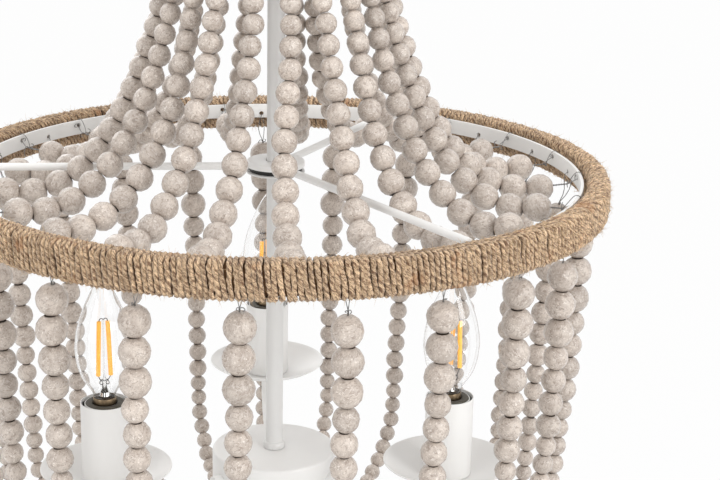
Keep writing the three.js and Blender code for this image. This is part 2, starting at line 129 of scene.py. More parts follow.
# How the hand-strung strings happen to hang, by number, in millimetres: an upper string's lean
# near the crown, its lean near the hoop and its pull inwards, and a lower string's lean, its
# pull inwards and its lean near the bottom. Positive leans are anticlockwise from above.
UPPER_HANG = {
    1: (0, 5, 0), 7: (0, 1.5, 3), 8: (0, 4, 5), 10: (4.3, 0.2, 0), 11: (6.5, -2.2, 0),
    12: (0, 5.4, 0), 13: (2.9, -1.3, 0), 20: (0, 5, 0), 21: (0, -5, 0)}
LOWER_HANG = {
    1: (-3, 0, 0), 2: (-6, 3, 0), 3: (-7, 8, 0), 4: (-5, 10, 0), 5: (-2, 9, 0), 6: (0, 6, 0),
    8: (1, 1.5, 0), 9: (-3, 0, 0), 10: (-3, 0, 0), 11: (-1, 0, 0), 13: (-1.3, 0, 0),
    14: (1.5, 0, 10), 17: (0, 9, 0), 18: (0, 9, 0), 19: (0, 6, 0), 20: (3, 4, 0), 21: (4.5, 2, 0)}

# How much longer than the others some lower strings' wires are above the first bead, in mm
LOWER_DROP = {10: 2.1, 11: 0.3, 12: 3.4, 13: 1.9, 15: 4.3}

# Stem, drum and link
STEM_RADIUS = 5.6
STEM_TOP = 205
LINK_MIDDLE = 248.9
DRUM_TOP = -189.8
DRUM_FOOT = -225.8
DRUM_RADIUS = 40.7

# Lights
LIGHTS = 3
LIGHT_CIRCLE = 123.6
LIGHT_TURN = math.radians(90)
SAUCER_FOOT = -184
SAUCER_THICKNESS = 1.5
SLEEVE_RADIUS = 15
SLEEVE_FLOOR = -158
SLEEVE_TOP = -131.0
BULB_FOOT = -152.7
GLASS_WALL = 0.2
GLASS_OUTLINE = (
    (6.5, -128.6), (7.0, -125.6), (9.6, -121), (13.2, -115.5), (16.0, -108), (17.5, -98),
    (17.1, -89.5), (15.4, -80.5), (12.6, -72), (9.4, -64.5), (6.1, -57.8), (3.2, -52.8),
    (1.2, -50.3), (0, -49.7))

# How each light happens to stand: its filaments' turn about the bulb's axis in degrees, their
# shift to the right and the heights of their ends, and the shift of its liner ring, in mm
FILAMENT_TURNS = (40, 14, -52)
FILAMENT_LEANS = (-2.0, 0.2, 2.8)
FILAMENT_SPANS = ((-115, -84.5), (-114, -79), (-111, -80.8))
LINER_OFFSETS = ((0, 0.3), (0.8, 0.1), (-0.6, -0.5))

# Stage
CAMERA_PLACE = (-48.2, -1086.8, 279.23)
CAMERA_YAW = 5.4
CAMERA_PITCH = -16.65
CAMERA_ROLL = 1.13
CAMERA_LENS = 88.55
FLOOR_SIZE = 30
FLOOR_DROP = 1.6
SURROUND_GLOW = 0.95

# Name, place in metres, width in metres and power in watts of each lamp
LAMPS = (
    ("key_softbox", (1.7, -1.8, 0.7), 1.4, 36),
    ("fill_softbox", (-1.9, -1.5, 0.3), 1.6, 15),
    ("top_softbox", (0.2, 0.4, 2.0), 1.8, 9),
    ("back_softbox", (-0.9, 2.2, 0.6), 1.6, 12))


def srgb(code):
    """Linear colour of an sRGB hex value."""
    channels = [int(code[i:i + 2], 16) / 255 for i in (0, 2, 4)]
    return (*(c / 12.92 if c <= 0.04045 else ((c + 0.055) / 1.055) ** 2.4 for c in channels), 1.0)


class ChandelierSizes(bpy.types.PropertyGroup):
    bead_large: FloatProperty(
        name="Largest bead", description="Diameter of the beads next to the ring",
        default=17.9 * MM, unit="LENGTH")
    upper_bead_small: FloatProperty(
        name="Smallest upper bead", description="Diameter of the beads at the crown",
        default=12.2 * MM, unit="LENGTH")
    lower_bead_small: FloatProperty(
        name="Smallest lower bead", description="Diameter of the beads at the bottom plate",
        default=11.1 * MM, unit="LENGTH")
    twine_thickness: FloatProperty(
        name="Twine", description="Thickness of the jute twine", default=3.3 * MM, unit="LENGTH")
    twine_turns: IntProperty(
        name="Twine turns", description="Turns of twine round the ring", default=394, min=12)
    wire_thickness: FloatProperty(
        name="Bead wire", description="Thickness of the bead wires and their hooks",
        default=0.55 * MM, unit="LENGTH")


def colour_property(name, description, code):
    return FloatVectorProperty(
        name=name, description=description, subtype="COLOR", size=4, default=srgb(code), min=0, max=1)


class ChandelierFinishes(bpy.types.PropertyGroup):
    paint: colour_property("Paint", "Off-white paint of the steel frame", "e6e5e3")
    bead_wash: colour_property("Bead wash", "Grey-beige wash of the beads", "c6baaf")
    bead_grain: colour_property("Bead grain", "Wood that shows through the wash", "85756a")
    bead_chalk: colour_property("Bead chalk", "Chalky flecks in the wash", "e2dad2")
    twine: colour_property("Twine", "Natural jute", "d1b492")
    # the twine shade colours the dark fibres, and is painted shade in the valleys between the plies
    twine_shade: colour_property("Twine shade", "Jute between the plies", "6b492f")


def sizes():
    return bpy.context.scene.chandelier_sizes


def finishes():
    return bpy.context.scene.chandelier_finishes


# Placing
def at(radius, azimuth, height):
    """A point at a radius, an angle and a height above the hoop, in metres."""
    return Vector((
        radius * MM * math.cos(azimuth), radius * MM * math.sin(azimuth), (HOOP_TOP + height) * MM))


def aside(azimuth):
    """One millimetre to the side of a string, anticlockwise from above."""
    return Vector((-math.sin(azimuth), math.cos(azimuth), 0)) * MM


def light_azimuth(i):
    return LIGHT_TURN + TURN * i / LIGHTS


def light_seat(i):
    """How far a light stands from the stem's axis, in metres."""
    return at(LIGHT_CIRCLE, light_azimuth(i), 0) * Vector((1, 1, 0))


# Modelling
def deselect_all():
    if bpy.context.object and bpy.context.object.mode != "OBJECT":
        bpy.ops.object.mode_set(mode="OBJECT")
    bpy.ops.object.select_all(action="DESELECT")


def make_active(*pieces):
    deselect_all()
    for piece in pieces:
        piece.select_set(True)
    bpy.context.view_layer.objects.active = pieces[0]


def shift(piece, offset):
    """Moves a piece in its own mesh, so its object stays at the origin."""
    piece.data.transform(Matrix.Translation(offset))
    return piece


def modified(piece, name, kind, **settings):
    """Adds a modifier with its settings and applies it."""
    modifier = piece.modifiers.new(name, kind)
    for setting, value in settings.items():
        setattr(modifier, setting, value)
    make_active(piece)
    bpy.ops.object.modifier_apply(modifier=name)
    return piece


def rounded(piece, width, segments=2):
    """Rounds a piece's edges, as pressing, turning or painting leaves them."""
    return modified(
        piece, "Rounded edges", "BEVEL", width=width * MM, segments=segments,
        limit_method="ANGLE", angle_limit=math.radians(28))


def turned(name, outline, steps=72, closed=False, edge=0.0, seat=None):
    """A turned piece: a chain of edges through (radius, height) points, spun about the axis,
    with its edges rounded and moved to its seat where they are given."""
    deselect_all()
    bpy.ops.mesh.primitive_plane_add(size=MM)
    piece = bpy.context.object
    piece.name = name
    bpy.ops.object.mode_set(mode="EDIT")
    bpy.ops.mesh.merge(type="CENTER")
    points = [Vector((r * MM, 0, (HOOP_TOP + h) * MM)) for r, h in outline]
    if closed:
        points.append(points[0].copy())
    bpy.ops.transform.translate(value=points[0])
    for last, point in zip(points, points[1:]):
        bpy.ops.mesh.extrude_vertices_move(TRANSFORM_OT_translate={"value": point - last})
    bpy.ops.mesh.select_all(action="SELECT")
    bpy.ops.mesh.spin(steps=steps, angle=TURN, center=(0, 0, 0), axis=(0, 0, 1))
    bpy.ops.mesh.select_all(action="SELECT")
    bpy.ops.mesh.remove_doubles(threshold=MM / 1000)
    bpy.ops.mesh.normals_make_consistent(inside=False)
    bpy.ops.object.mode_set(mode="OBJECT")
    if edge:
        rounded(piece, edge)
    return shift(piece, seat) if seat is not None else piece


def smooth(piece, angle=35):
    make_active(piece)
    bpy.ops.object.shade_smooth_by_angle(angle=math.radians(angle))
    return piece


def joined(name, pieces):
    make_active(*pieces)
    bpy.ops.object.join()
    piece = bpy.context.object
    piece.name = name
    return piece


def bar(name, start, end, radius, sides=32):
    """A straight round bar between two points."""
    deselect_all()
    run = end - start
    bpy.ops.mesh.primitive_cylinder_add(
        vertices=sides, radius=radius * MM, depth=run.length, location=(start + end) / 2,
        rotation=run.to_track_quat("Z", "Y").to_euler())
    bpy.ops.object.transform_apply(location=True, rotation=True, scale=True)
    piece = bpy.context.object
    piece.name = name
    return piece


def bent(name, lines, radius, closed=False, sides=8, order=3):
    """Round wire or tube laid along each line of points."""
    deselect_all()
    bpy.ops.curve.primitive_nurbs_path_add()
    curve = bpy.context.object
    curve.name = name
    data = curve.data
    data.splines.clear()
    data.dimensions = "3D"
    data.bevel_depth = radius * MM
    data.bevel_resolution = max(sides // 4 - 1, 0)
    data.use_fill_caps = not closed
    for line in lines:
        spline = data.splines.new("NURBS")
        spline.points.add(len(line) - 1)
        for knot, point in zip(spline.points, line):
            knot.co = (*point, 1)
        spline.use_cyclic_u = closed
        spline.use_endpoint_u = not closed
        spline.order_u = order
        spline.resolution_u = 2
    curve.location = (0, 0, 0)
    bpy.ops.object.convert(target="MESH")
    piece = bpy.context.object
    piece.data.name = name
    make_active(piece)
    bpy.ops.object.shade_smooth()
    return piece


def mesh_piece(name, points, faces):
    """A piece from an array of points, in millimetres above the hoop's top edge, and its faces."""
    data = bpy.data.meshes.new(name)
    data.from_pydata(((points + [0, 0, HOOP_TOP]) * MM).tolist(), [], faces)
    data.shade_smooth()
    piece = bpy.data.objects.new(name, data)
    bpy.context.scene.collection.objects.link(piece)
    return piece


def add_attribute(piece, name, kind, field, values):
    """Gives each of a piece's points its own value or vector."""
    attribute = piece.data.attributes.new(name, kind, "POINT")
    attribute.data.foreach_set(field, values)


def hand_over(piece, finish, *stands_for, body="chandelier"):
    """Gives a finished piece its material and its body, and hides the CAD nodes it stands for."""
    piece.data.materials.clear()
    piece.data.materials.append(material(finish))
    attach(piece, body)
    if stands_for:
        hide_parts(*stands_for)
    return piece


# Curves
def smooth_path(points, steps):
    """Points on a centripetal curve through the given ones."""
    points = [np.array(p, float) for p in points]
    points = [2 * points[0] - points[1], *points, 2 * points[-1] - points[-2]]
    path = []
    for before, start, end, after in zip(points, points[1:], points[2:], points[3:]):
        gaps = [math.sqrt(np.linalg.norm(b - a)) for a, b in
                ((before, start), (start, end), (end, after))]
        leave = (start - before) / gaps[0] - (end - before) / (gaps[0] + gaps[1])
        leave = (leave + (end - start) / gaps[1]) * gaps[1]
        reach = (end - start) / gaps[1] - (after - start) / (gaps[1] + gaps[2])
        reach = (reach + (after - end) / gaps[2]) * gaps[1]
        for t in np.arange(steps) / steps:
            path.append(
                start + leave * t + (3 * (end - start) - 2 * leave - reach) * t ** 2
                + (2 * (start - end) + leave + reach) * t ** 3)
    path.append(points[-2])
    return np.array(path)


def along(path):
    """Distance of each point of a path from its start."""
    return np.concatenate([[0], np.cumsum(np.linalg.norm(np.diff(path, axis=0), axis=1))])


def own_length(width, height):
    """Own length of the catenary that rises to a height over a width, closed in on by halves."""
    low, high = 0.0, width + height
    for _ in range(40):
        middle = (low + high) / 2
        if middle * math.acosh(1 + height / middle) < width:
            low = middle
        else:
            high = middle
    return (low + high) / 2


def upper_line():
    """Centre line of an upper string: a catenary from the hoop to the crown."""
    low = HOOP_INNER - SAG_INSET
    curve = own_length(low - CROWN_RADIUS, CROWN_HEIGHT + SAG_DEPTH)
    wall = HOOP_INNER * math.cos(HOLE_PITCH / 2)
    points = [(wall - 1.1, UPPER_HOLE - HOLE_RADIUS - 0.8)]
    for u in np.linspace(-SAG_INSET / curve * SAG_START_SHARE, (low - CROWN_RADIUS) / curve, 17):
        points.append((low - curve * u, curve * (math.cosh(u) - 1) - SAG_DEPTH))
    return smooth_path(points, 12)


def lower_line():
    """Centre line of a lower string: down from the hoop and in under the lights."""
    top = -HOOP_HEIGHT - GAP
    middle = (HOOP_INNER + HOOP_THICKNESS / 2) * math.cos(HOLE_PITCH / 2)
    points = [(middle * radius, top - (BASKET_DEPTH + top) * depth) for radius, depth in
              zip(BASKET_RADIUS_SHARES, BASKET_DEPTH_SHARES)]
    return smooth_path([*points, (PLATE_RADIUS + GAP, -BASKET_DEPTH)], 24)


def string_azimuth(kind, i):
    return HOLE_TURN + 2 * i * HOLE_PITCH + (HOLE_PITCH if kind == "upper" else 0)


def string_points(kind, i, line):
    """The way of one string through space, as it happens to hang, in mm from the hoop's centre."""
    azimuth = string_azimuth(kind, i)
    side = np.array([-math.sin(azimuth), math.cos(azimuth), 0])
    out = np.array([math.cos(azimuth), math.sin(azimuth), 0])
    share = (along(line) / along(line)[-1])[:, None]
    points = line[:, :1] * out + line[:, 1:] * np.array([0, 0, 1])
    chance = random.Random(SEED + i)
    hang = (UPPER_HANG if kind == "upper" else LOWER_HANG).get(i + 1, (0, 0, 0))
    first, second, third = (amount + chance.gauss(0, 0.6) for amount in hang)
    late = np.sin(np.pi * share ** 2) ** 2
    if kind == "upper":
        early = np.sin(np.pi * share) ** 2
        return points + side * (first * late + second * early) - out * third * early
    early = np.sin(np.pi * share ** 0.6)
    return points + side * (first * early + third * late) - out * second * early


def string_kinds():
    """Each kind of string, with its centre line, the bare wire before its beads and their sizes
    from the hoop on."""
    large = sizes().bead_large / MM
    kinds = []
    for kind, line, wire, small, steps in (
            ("upper", upper_line(), UPPER_WIRE, sizes().upper_bead_small,
             np.minimum((np.arange(UPPER_BEADS) + 1) / UPPER_GRADED_BEADS, 1)),
            ("lower", lower_line(), LOWER_WIRE, sizes().lower_bead_small,
             np.repeat(LOWER_BEAD_STEPS, LOWER_BEAD_COUNTS))):
        wires = [wire + (LOWER_DROP.get(i + 1, 0) if kind == "lower" else 0)
                 for i in range(STRINGS)]
        kinds.append((kind, line, wires, large + (small / MM - large) * steps))
    return kinds


# Materials
def add(tree, kind, inputs=None, **settings):
    """Adds a node with its settings, and links or sets its inputs."""
    node = tree.nodes.new(kind)
    for name, value in settings.items():
        setattr(node, name, value)
    for name, value in (inputs or {}).items():
        if isinstance(value, bpy.types.NodeSocket):
            tree.links.new(value, node.inputs[name])
        else:
            node.inputs[name].default_value = value
    return node


# Sockets of a colour mix, by number, because those of the other data types share their names
FACTOR, FIRST, SECOND, MIXED = 0, 6, 7, 2


def laid_over(tree, under, over, pattern, low, high, most=1.0):
    """One colour over another, as much as a pattern has risen between two levels."""
    share = add(tree, "ShaderNodeMapRange", {
        "Value": pattern, "From Min": low, "From Max": high, "To Max": most})
    return add(tree, "ShaderNodeMix", {
        FACTOR: share.outputs["Result"], FIRST: under, SECOND: over}, data_type="RGBA").outputs[MIXED]


def toned(tree, colour, tone, darkest, palest):
    """A colour made darker or paler by a tone from 0 to 1."""
    shade = add(tree, "ShaderNodeMapRange", {
        "Value": tone, "From Min": 0.0, "From Max": 1.0, "To Min": darkest, "To Max": palest})
    return add(tree, "ShaderNodeVectorMath", {
        0: colour, 1: shade.outputs["Result"]}, operation="MULTIPLY").outputs["Vector"]


def times(colour, share):
    return (*(min(c * share, 1) for c in colour[:3]), 1.0)


def size(mm):
    """Texture scale at which a pattern's features are this many millimetres wide."""
    return 1 / (mm * MM)


def new_material(name):
    material = bpy.data.materials.new(name)
    material.use_nodes = True
    material.node_tree.nodes.clear()
    return material, material.node_tree


def finish_material(tree, shader):
    add(tree, "ShaderNodeOutputMaterial", {"Surface": shader})


def satin_paint(name, shade=1.0):
    """Sprayed off-white enamel on steel: an even satin with a faint orange peel."""
    material, tree = new_material(name)
    place = add(tree, "ShaderNodeTexCoord").outputs["Object"]
    peel = add(tree, "ShaderNodeTexNoise", {"Vector": place, "Scale": size(1.6), "Detail": 2.0})
    cloud = add(tree, "ShaderNodeTexNoise", {"Vector": place, "Scale": size(35), "Detail": 3.0})
    tone = times(finishes().paint, shade)
    bump = add(tree, "ShaderNodeBump", {
        "Height": peel.outputs["Fac"], "Strength": 0.12, "Distance": 0.05 * MM})
    finish_material(tree, add(tree, "ShaderNodeBsdfPrincipled", {
        "Base Color": laid_over(tree, tone, times(tone, 0.96), cloud.outputs["Fac"], 0.35, 0.75),
        "Roughness": 0.38, "IOR": 1.5, "Coat Weight": 0.15, "Coat Roughness": 0.25,
        "Normal": bump.outputs["Normal"]}).outputs["BSDF"])
    return material


def washed_wood():
    """Turned softwood beads under a greige wash: soft cloudy patches, short brown grain streaks
    and rubbed pale marks, with a thin varnish whose highlights the grain breaks up."""
    material, tree = new_material("whitewashed_turned_wood")
    place = add(tree, "ShaderNodeAttribute", attribute_name="bead_place").outputs["Vector"]
    tone = add(tree, "ShaderNodeAttribute", attribute_name="bead_tone").outputs["Fac"]
    looks = finishes()
    wash, grain, chalk = tuple(looks.bead_wash), tuple(looks.bead_grain), tuple(looks.bead_chalk)
    thin = tuple(w * 0.65 + g * 0.35 for w, g in zip(wash, grain))
    cloud = add(tree, "ShaderNodeTexNoise", {
        "Vector": place, "Scale": size(6), "Detail": 2.0, "Roughness": 0.6, "Distortion": 0.5})
    # short streaks along the grain, about 1 mm wide
    along_grain = add(tree, "ShaderNodeMapping", {"Vector": place, "Scale": (0.4, 1.0, 1.0)})
    fleck = add(tree, "ShaderNodeTexNoise", {
        "Vector": along_grain.outputs["Vector"], "Scale": size(1.5), "Detail": 3.0,
        "Roughness": 0.6, "Distortion": 1.2})
    rubbed = add(tree, "ShaderNodeTexNoise", {
        "Vector": place, "Scale": size(1.9), "Detail": 2.0, "Roughness": 0.6, "Distortion": 2.0})
    colour = laid_over(tree, thin, wash, cloud.outputs["Fac"], 0.4, 0.6)
    colour = laid_over(tree, colour, grain, fleck.outputs["Fac"], 0.5, 0.64, 0.66)
    colour = laid_over(tree, colour, chalk, rubbed.outputs["Fac"], 0.57, 0.67, 0.8)
    bump = add(tree, "ShaderNodeBump", {
        "Height": fleck.outputs["Fac"], "Strength": 0.4, "Distance": 0.15 * MM})
    varnish = add(tree, "ShaderNodeBump", {
        "Height": rubbed.outputs["Fac"], "Strength": 0.9, "Distance": 0.6 * MM})
    finish_material(tree, add(tree, "ShaderNodeBsdfPrincipled", {
        "Base Color": toned(tree, colour, tone, 0.86, 1.1), "Roughness": 0.5, "IOR": 1.5,
        "Coat Weight": 0.8, "Coat Roughness": 0.08, "Coat Normal": varnish.outputs["Normal"],
        "Normal": bump.outputs["Normal"]}).outputs["BSDF"])
    return material


def jute_twine():
    """Two-ply natural jute: matt and hairy, with plies that slant across the twine, painted
    shade in the valleys between them and turns that differ a little in tone."""
    material, tree = new_material("two_ply_jute_twine")
    light, shade = tuple(finishes().twine), tuple(finishes().twine_shade)
    place = add(tree, "ShaderNodeTexCoord").outputs["Object"]
    tone = add(tree, "ShaderNodeAttribute", attribute_name="turn_tone").outputs["Fac"]
    # u runs along the twine in twists and v once round it: the plies lie along u + v
    lay = add(tree, "ShaderNodeSeparateXYZ", {
        "Vector": add(tree, "ShaderNodeUVMap", uv_map="lay").outputs["UV"]})
    slant = add(tree, "ShaderNodeMath", {0: lay.outputs["X"], 1: lay.outputs["Y"]}, operation="ADD")
    wave = add(tree, "ShaderNodeMath", {0: slant.outputs[0], 1: 2 * TURN}, operation="MULTIPLY")
    crest = add(tree, "ShaderNodeMath", {0: wave.outputs[0]}, operation="COSINE")
    fibre_place = add(tree, "ShaderNodeCombineXYZ", {
        "X": slant.outputs[0], "Y": lay.outputs["X"], "Z": tone})
    stretch = add(tree, "ShaderNodeMapping", {
        "Vector": fibre_place.outputs["Vector"], "Scale": (11.0, 1.8, 40.0)})
    fibres = add(tree, "ShaderNodeTexNoise", {
        "Vector": stretch.outputs["Vector"], "Scale": 1.0, "Detail": 3.0, "Roughness": 0.7})
    fuzz = add(tree, "ShaderNodeTexNoise", {
        "Vector": place, "Scale": size(1.0), "Detail": 3.0, "Roughness": 0.7})
    stain = add(tree, "ShaderNodeTexNoise", {"Vector": place, "Scale": size(14), "Detail": 3.0})
    colour = light
    # the first layer is painted shade in the valleys between the plies; the dark fibres and fuzz take
    # the same colour
    for over, pattern, low, high, most in (
            (shade, crest.outputs[0], 0.1, -1.0, 0.85),
            (times(light, 1.45), fibres.outputs["Fac"], 0.5, 0.62, 1.0),
            (shade, fibres.outputs["Fac"], 0.47, 0.37, 1.0),
            (shade, fuzz.outputs["Fac"], 0.53, 0.64, 0.85),
            (srgb("b37a4a"), stain.outputs["Fac"], 0.6, 0.72, 0.5)):
        colour = laid_over(tree, colour, over, pattern, low, high, most)
    height = add(tree, "ShaderNodeMath", {
        0: fibres.outputs["Fac"], 1: fuzz.outputs["Fac"]}, operation="ADD")
    bump = add(tree, "ShaderNodeBump", {
        "Height": height.outputs[0], "Strength": 1.0, "Distance": 0.9 * MM})
    finish_material(tree, add(tree, "ShaderNodeBsdfPrincipled", {
        "Base Color": toned(tree, colour, tone, 0.82, 1.12), "Roughness": 0.88, "IOR": 1.45,
        "Sheen Weight": 0.25, "Sheen Roughness": 0.5,
        "Normal": bump.outputs["Normal"]}).outputs["BSDF"])
    return material


def plain_material(name, code, grain_mm, roughness, metallic=0.0, variation=0.8):
    """A moulded, cast or plated finish: one colour broken by a fine grain in tone and relief."""
    material, tree = new_material(name)
    place = add(tree, "ShaderNodeTexCoord").outputs["Object"]
    grain = add(tree, "ShaderNodeTexNoise", {"Vector": place, "Scale": size(grain_mm), "Detail": 4.0})
    tone = srgb(code)
    bump = add(tree, "ShaderNodeBump", {
        "Height": grain.outputs["Fac"], "Strength": 0.3, "Distance": 0.05 * MM})
    finish_material(tree, add(tree, "ShaderNodeBsdfPrincipled", {
        "Base Color": laid_over(tree, tone, times(tone, variation), grain.outputs["Fac"], 0.35, 0.65),
        "Roughness": roughness, "Metallic": metallic,
        "Normal": bump.outputs["Normal"]}).outputs["BSDF"])
    return material


def clear_glass():
    """Thin blown soda-lime glass: clear, with light passing straight through to cast no dark
    shadow."""
    material, tree = new_material("blown_clear_glass")
    glass = add(tree, "ShaderNodeBsdfPrincipled", {
        "Base Color": srgb("ffffff"), "Roughness": 0.0, "IOR": 1.45, "Transmission Weight": 1.0})
    clear = add(tree, "ShaderNodeBsdfTransparent", {"Color": srgb("fafbfb")})
    path = add(tree, "ShaderNodeLightPath")
    finish_material(tree, add(tree, "ShaderNodeMixShader", {
        0: path.outputs["Is Shadow Ray"], 1: glass.outputs["BSDF"],
        2: clear.outputs["BSDF"]}).outputs["Shader"])
    return material


def filament_coat():
    """Silicone with yellow phosphor over a row of light chips: soft and dense, with a little painted
    glow.
    """
    material, tree = new_material("phosphor_silicone_coat")
    place = add(tree, "ShaderNodeTexCoord").outputs["Object"]
    grain = add(tree, "ShaderNodeTexNoise", {"Vector": place, "Scale": size(1.2), "Detail": 2.0})
    colour = add(tree, "ShaderNodeMix", {
        FACTOR: grain.outputs["Fac"], FIRST: srgb("ea9a30"), SECOND: srgb("ffc352")},
        data_type="RGBA")
    # painted glow: a little emission in the coat's own colour keeps its yellow bright
    finish_material(tree, add(tree, "ShaderNodeBsdfPrincipled", {
        "Base Color": colour.outputs[MIXED], "Roughness": 0.55,
        "Emission Color": colour.outputs[MIXED], "Emission Strength": 0.4}).outputs["BSDF"])
    return material


# Each finish: its slot in the part's table, the function that makes it and what that needs
FINISHES = {
    "paint": ("white_paint", satin_paint, "satin_enamel_paint"),
    # the same paint on the stem, drawn 0.86 times as bright as on the other parts
    "tube_paint": ("white_paint", satin_paint, "satin_enamel_on_tube", 0.86),
    "wood": ("washed_wood", washed_wood),
    "twine": ("jute_twine", jute_twine),
    "glass": ("clear_glass", clear_glass),
    "filament": (None, filament_coat),
    # the flat ends round the drilled hole: raw wood that the wash doesn't reach, made darker as painted
    # shade in the crevices between touching beads
    "bead_end": (None, plain_material, "drilled_bead_end", "4d4036", 0.8, 0.7, 0.0, 0.6),
    # dark cement that holds the glass in the cap
    "cement": (None, plain_material, "brown_cap_cement", "33271d", 0.8, 0.4),
    # single jute hairs, paler than the twine
    "fibre": ("jute_twine", plain_material, "loose_jute_hair", "d3b48c", 1.0, 0.8),
    # painted shade: jute coloured as dark as it looks in the shade of the turns above it
    "core": ("jute_twine", plain_material, "shaded_jute_core", "7d5a3c", 1.0, 0.95, 0.0, 0.6),
    # drawn steel wire, annealed dark
    "wire": ("zinc_plated_link", plain_material, "annealed_steel_wire", "9a9896", 2.0, 0.33, 1.0, 0.5),
    # nickel wire, dark where it was welded
    "lead": ("zinc_plated_link", plain_material, "welded_nickel_lead", "5b5754", 1.0, 0.4, 1.0, 0.5),
    # zinc plate, dull, with a cloudy spangle
    "zinc": ("zinc_plated_link", plain_material, "zinc_plated_steel", "a5a5a2", 4.0, 0.4, 1.0, 0.85),
    # nearly black: the spacer between the hub's discs, and painted shade down in the gap inside each
    # candle sleeve
    "near_black": (None, plain_material, "moulded_black_phenolic", "1c1b1a", 1.0, 0.45),
    # fired steatite, grey and dry
    "socket": (None, plain_material, "grey_socket_ceramic", "57534a", 0.8, 0.7),
    # nickel-plated brass cap, tarnished brown
    "cap": ("zinc_plated_link", plain_material, "tarnished_brass_cap", "8c7a62", 1.5, 0.33, 1.0, 0.7),
}
MATERIALS = {}


def material(finish):
    """Each material is made once, when the first piece asks for it."""
    if finish not in MATERIALS:
        slot, maker, *settings = FINISHES[finish]
        MATERIALS[finish] = maker(*settings)
    return MATERIALS[finish]


# Beads
def turned_bead():
    """One bead of unit length: a ball with flat ends round the drilled hole."""
    flat = math.asin(BEAD_FLAT)
    # what the flats between the meridians take off a bead's width is given back
    fullness = BEAD_FULLNESS * (1 + (math.pi / BEAD_MERIDIANS) ** 2 / 6)
    bead = turned("bead", [
        (math.sin(a) * fullness, math.cos(a) / math.cos(flat) * BEAD_REACH)
        for a in np.linspace(flat, math.pi - flat, BEAD_BANDS + 1)], BEAD_MERIDIANS)
    make_active(bead)
    bpy.ops.object.mode_set(mode="EDIT")
    bpy.ops.mesh.select_all(action="SELECT")
    bpy.ops.mesh.fill_holes(sides=0)
    bpy.ops.mesh.select_all(action="SELECT")
    bpy.ops.mesh.normals_make_consistent(inside=False)
    bpy.ops.object.mode_set(mode="OBJECT")
    points = np.array([v.co for v in bead.data.vertices]) / MM - [0, 0, HOOP_TOP]
    faces = [list(face.vertices) for face in bead.data.polygons]
    bpy.data.objects.remove(bead)
    return points, faces


def thread_beads(name, bead, points, diameters, first_wire, chance):
    """Threads copies of the bead along a line, each turned about the wire as it fell."""
    master, master_faces = bead
    reach = along(points)
    lengths = diameters * (reach[-1] - first_wire - END_WIRE) / diameters.sum()
    corners, faces, places, tones = [], [], [], []
    distance = first_wire
    string_tone = chance.uniform(-0.12, 0.12)
    for length in lengths:
        start, middle, end = (
            np.array([np.interp(d, reach, points[:, k]) for k in range(3)])
            for d in (distance, distance + length / 2, distance + length))
        distance += length
        tilt = Vector(end - start).to_track_quat("Z", "Y").to_matrix()
        lean = Euler((chance.gauss(0, 0.03), chance.gauss(0, 0.03), chance.uniform(0, TURN)))
        turn = np.array(tilt @ lean.to_matrix())
        grain = np.array(Euler([chance.uniform(0, TURN) for _ in range(3)]).to_matrix())
        girth = np.array([chance.uniform(0.985, 1.02)] * 2 + [chance.uniform(0.985, 1.005)])
        ball = master * girth * length / 2
        off = turn @ np.array([chance.gauss(0, 0.25), chance.gauss(0, 0.25), 0])
        first = len(corners) * len(master)
        corners.append(ball @ turn.T + middle + off)
        faces += [[first + i for i in face] for face in master_faces]
        places.append(ball @ grain.T + np.array([chance.uniform(0, 900) for _ in range(3)]))
        tones += [min(max(chance.gauss(0.5 + string_tone, 0.2), 0), 1)] * len(master)
    piece = mesh_piece(name, np.concatenate(corners), faces)
    piece.data.polygons.foreach_set("use_smooth", [len(face) == 4 for face in faces])
    add_attribute(
        piece, "bead_place", "FLOAT_VECTOR", "vector", (np.concatenate(places) * MM).ravel())
    add_attribute(piece, "bead_tone", "FLOAT", "value", tones)
    return piece


class ChandelierStrings(bpy.types.Operator):
    """Threads the graded wooden beads on the upper and lower strings"""
    bl_idname = "chandelier.strings"
    bl_label = "Bead strings"

    def execute(self, context):
        chance = random.Random(SEED)
        bead = turned_bead()
        for kind, line, wires, diameters in string_kinds():
            for i in range(STRINGS):
                piece = thread_beads(
                    f"{kind}_beads_{i + 1:02d}", bead, string_points(kind, i, line), diameters,
                    wires[i], chance)
                hand_over(piece, "wood", f"{kind}_string_{i + 1:02d}")
                piece.data.materials.append(material("bead_end"))
                # the flat ends take the dark end colour, painted shade in the crevices between beads;
                # the first bead's hole is too small to show round its wire
                piece.data.polygons.foreach_set("material_index", [
                    len(face.vertices) > 4 and face.index >= len(bead[1])
                    for face in piece.data.polygons])
        return {"FINISHED"}


# Wires
def twisted(start, end, chance, turns=3.5, spread=0.34):
    """Two strands wound about the line between two points."""
    run = end - start
    side = run.orthogonal().normalized()
    other = run.cross(side).normalized()
    phase = chance.uniform(0, TURN)
    lines = []
    for strand in (0, math.pi):
        line = []
        for share in np.arange(int(turns * 6) + 1) / (turns * 6):
            angle = phase + strand + share * turns * TURN
            wave = side * math.cos(angle) + other * math.sin(angle)
            line.append(start + run * share + wave * spread * MM)
        lines.append(line)
    return lines


def cut_end(start, side, chance, reach):
    """The clipped end of a wire, curled aside from where it was twisted."""
    lean = side * chance.choice([-1, 1]) * reach
    up = Vector((0, 0, chance.uniform(-1, 1) * reach)) * MM
    return [start, start + lean * 0.5 - up * 0.5, start + lean + up * 0.1,
            start + lean * 1.1 + up * 0.8, start + lean * 0.6 + up]


def at_hoop(azimuth, *places):
    """Points near the hoop, each by its way out from the inner face, its height and its way to
    the side."""
    return [at(HOOP_INNER + out, azimuth, height) + aside(azimuth) * side
            for out, height, side in places]


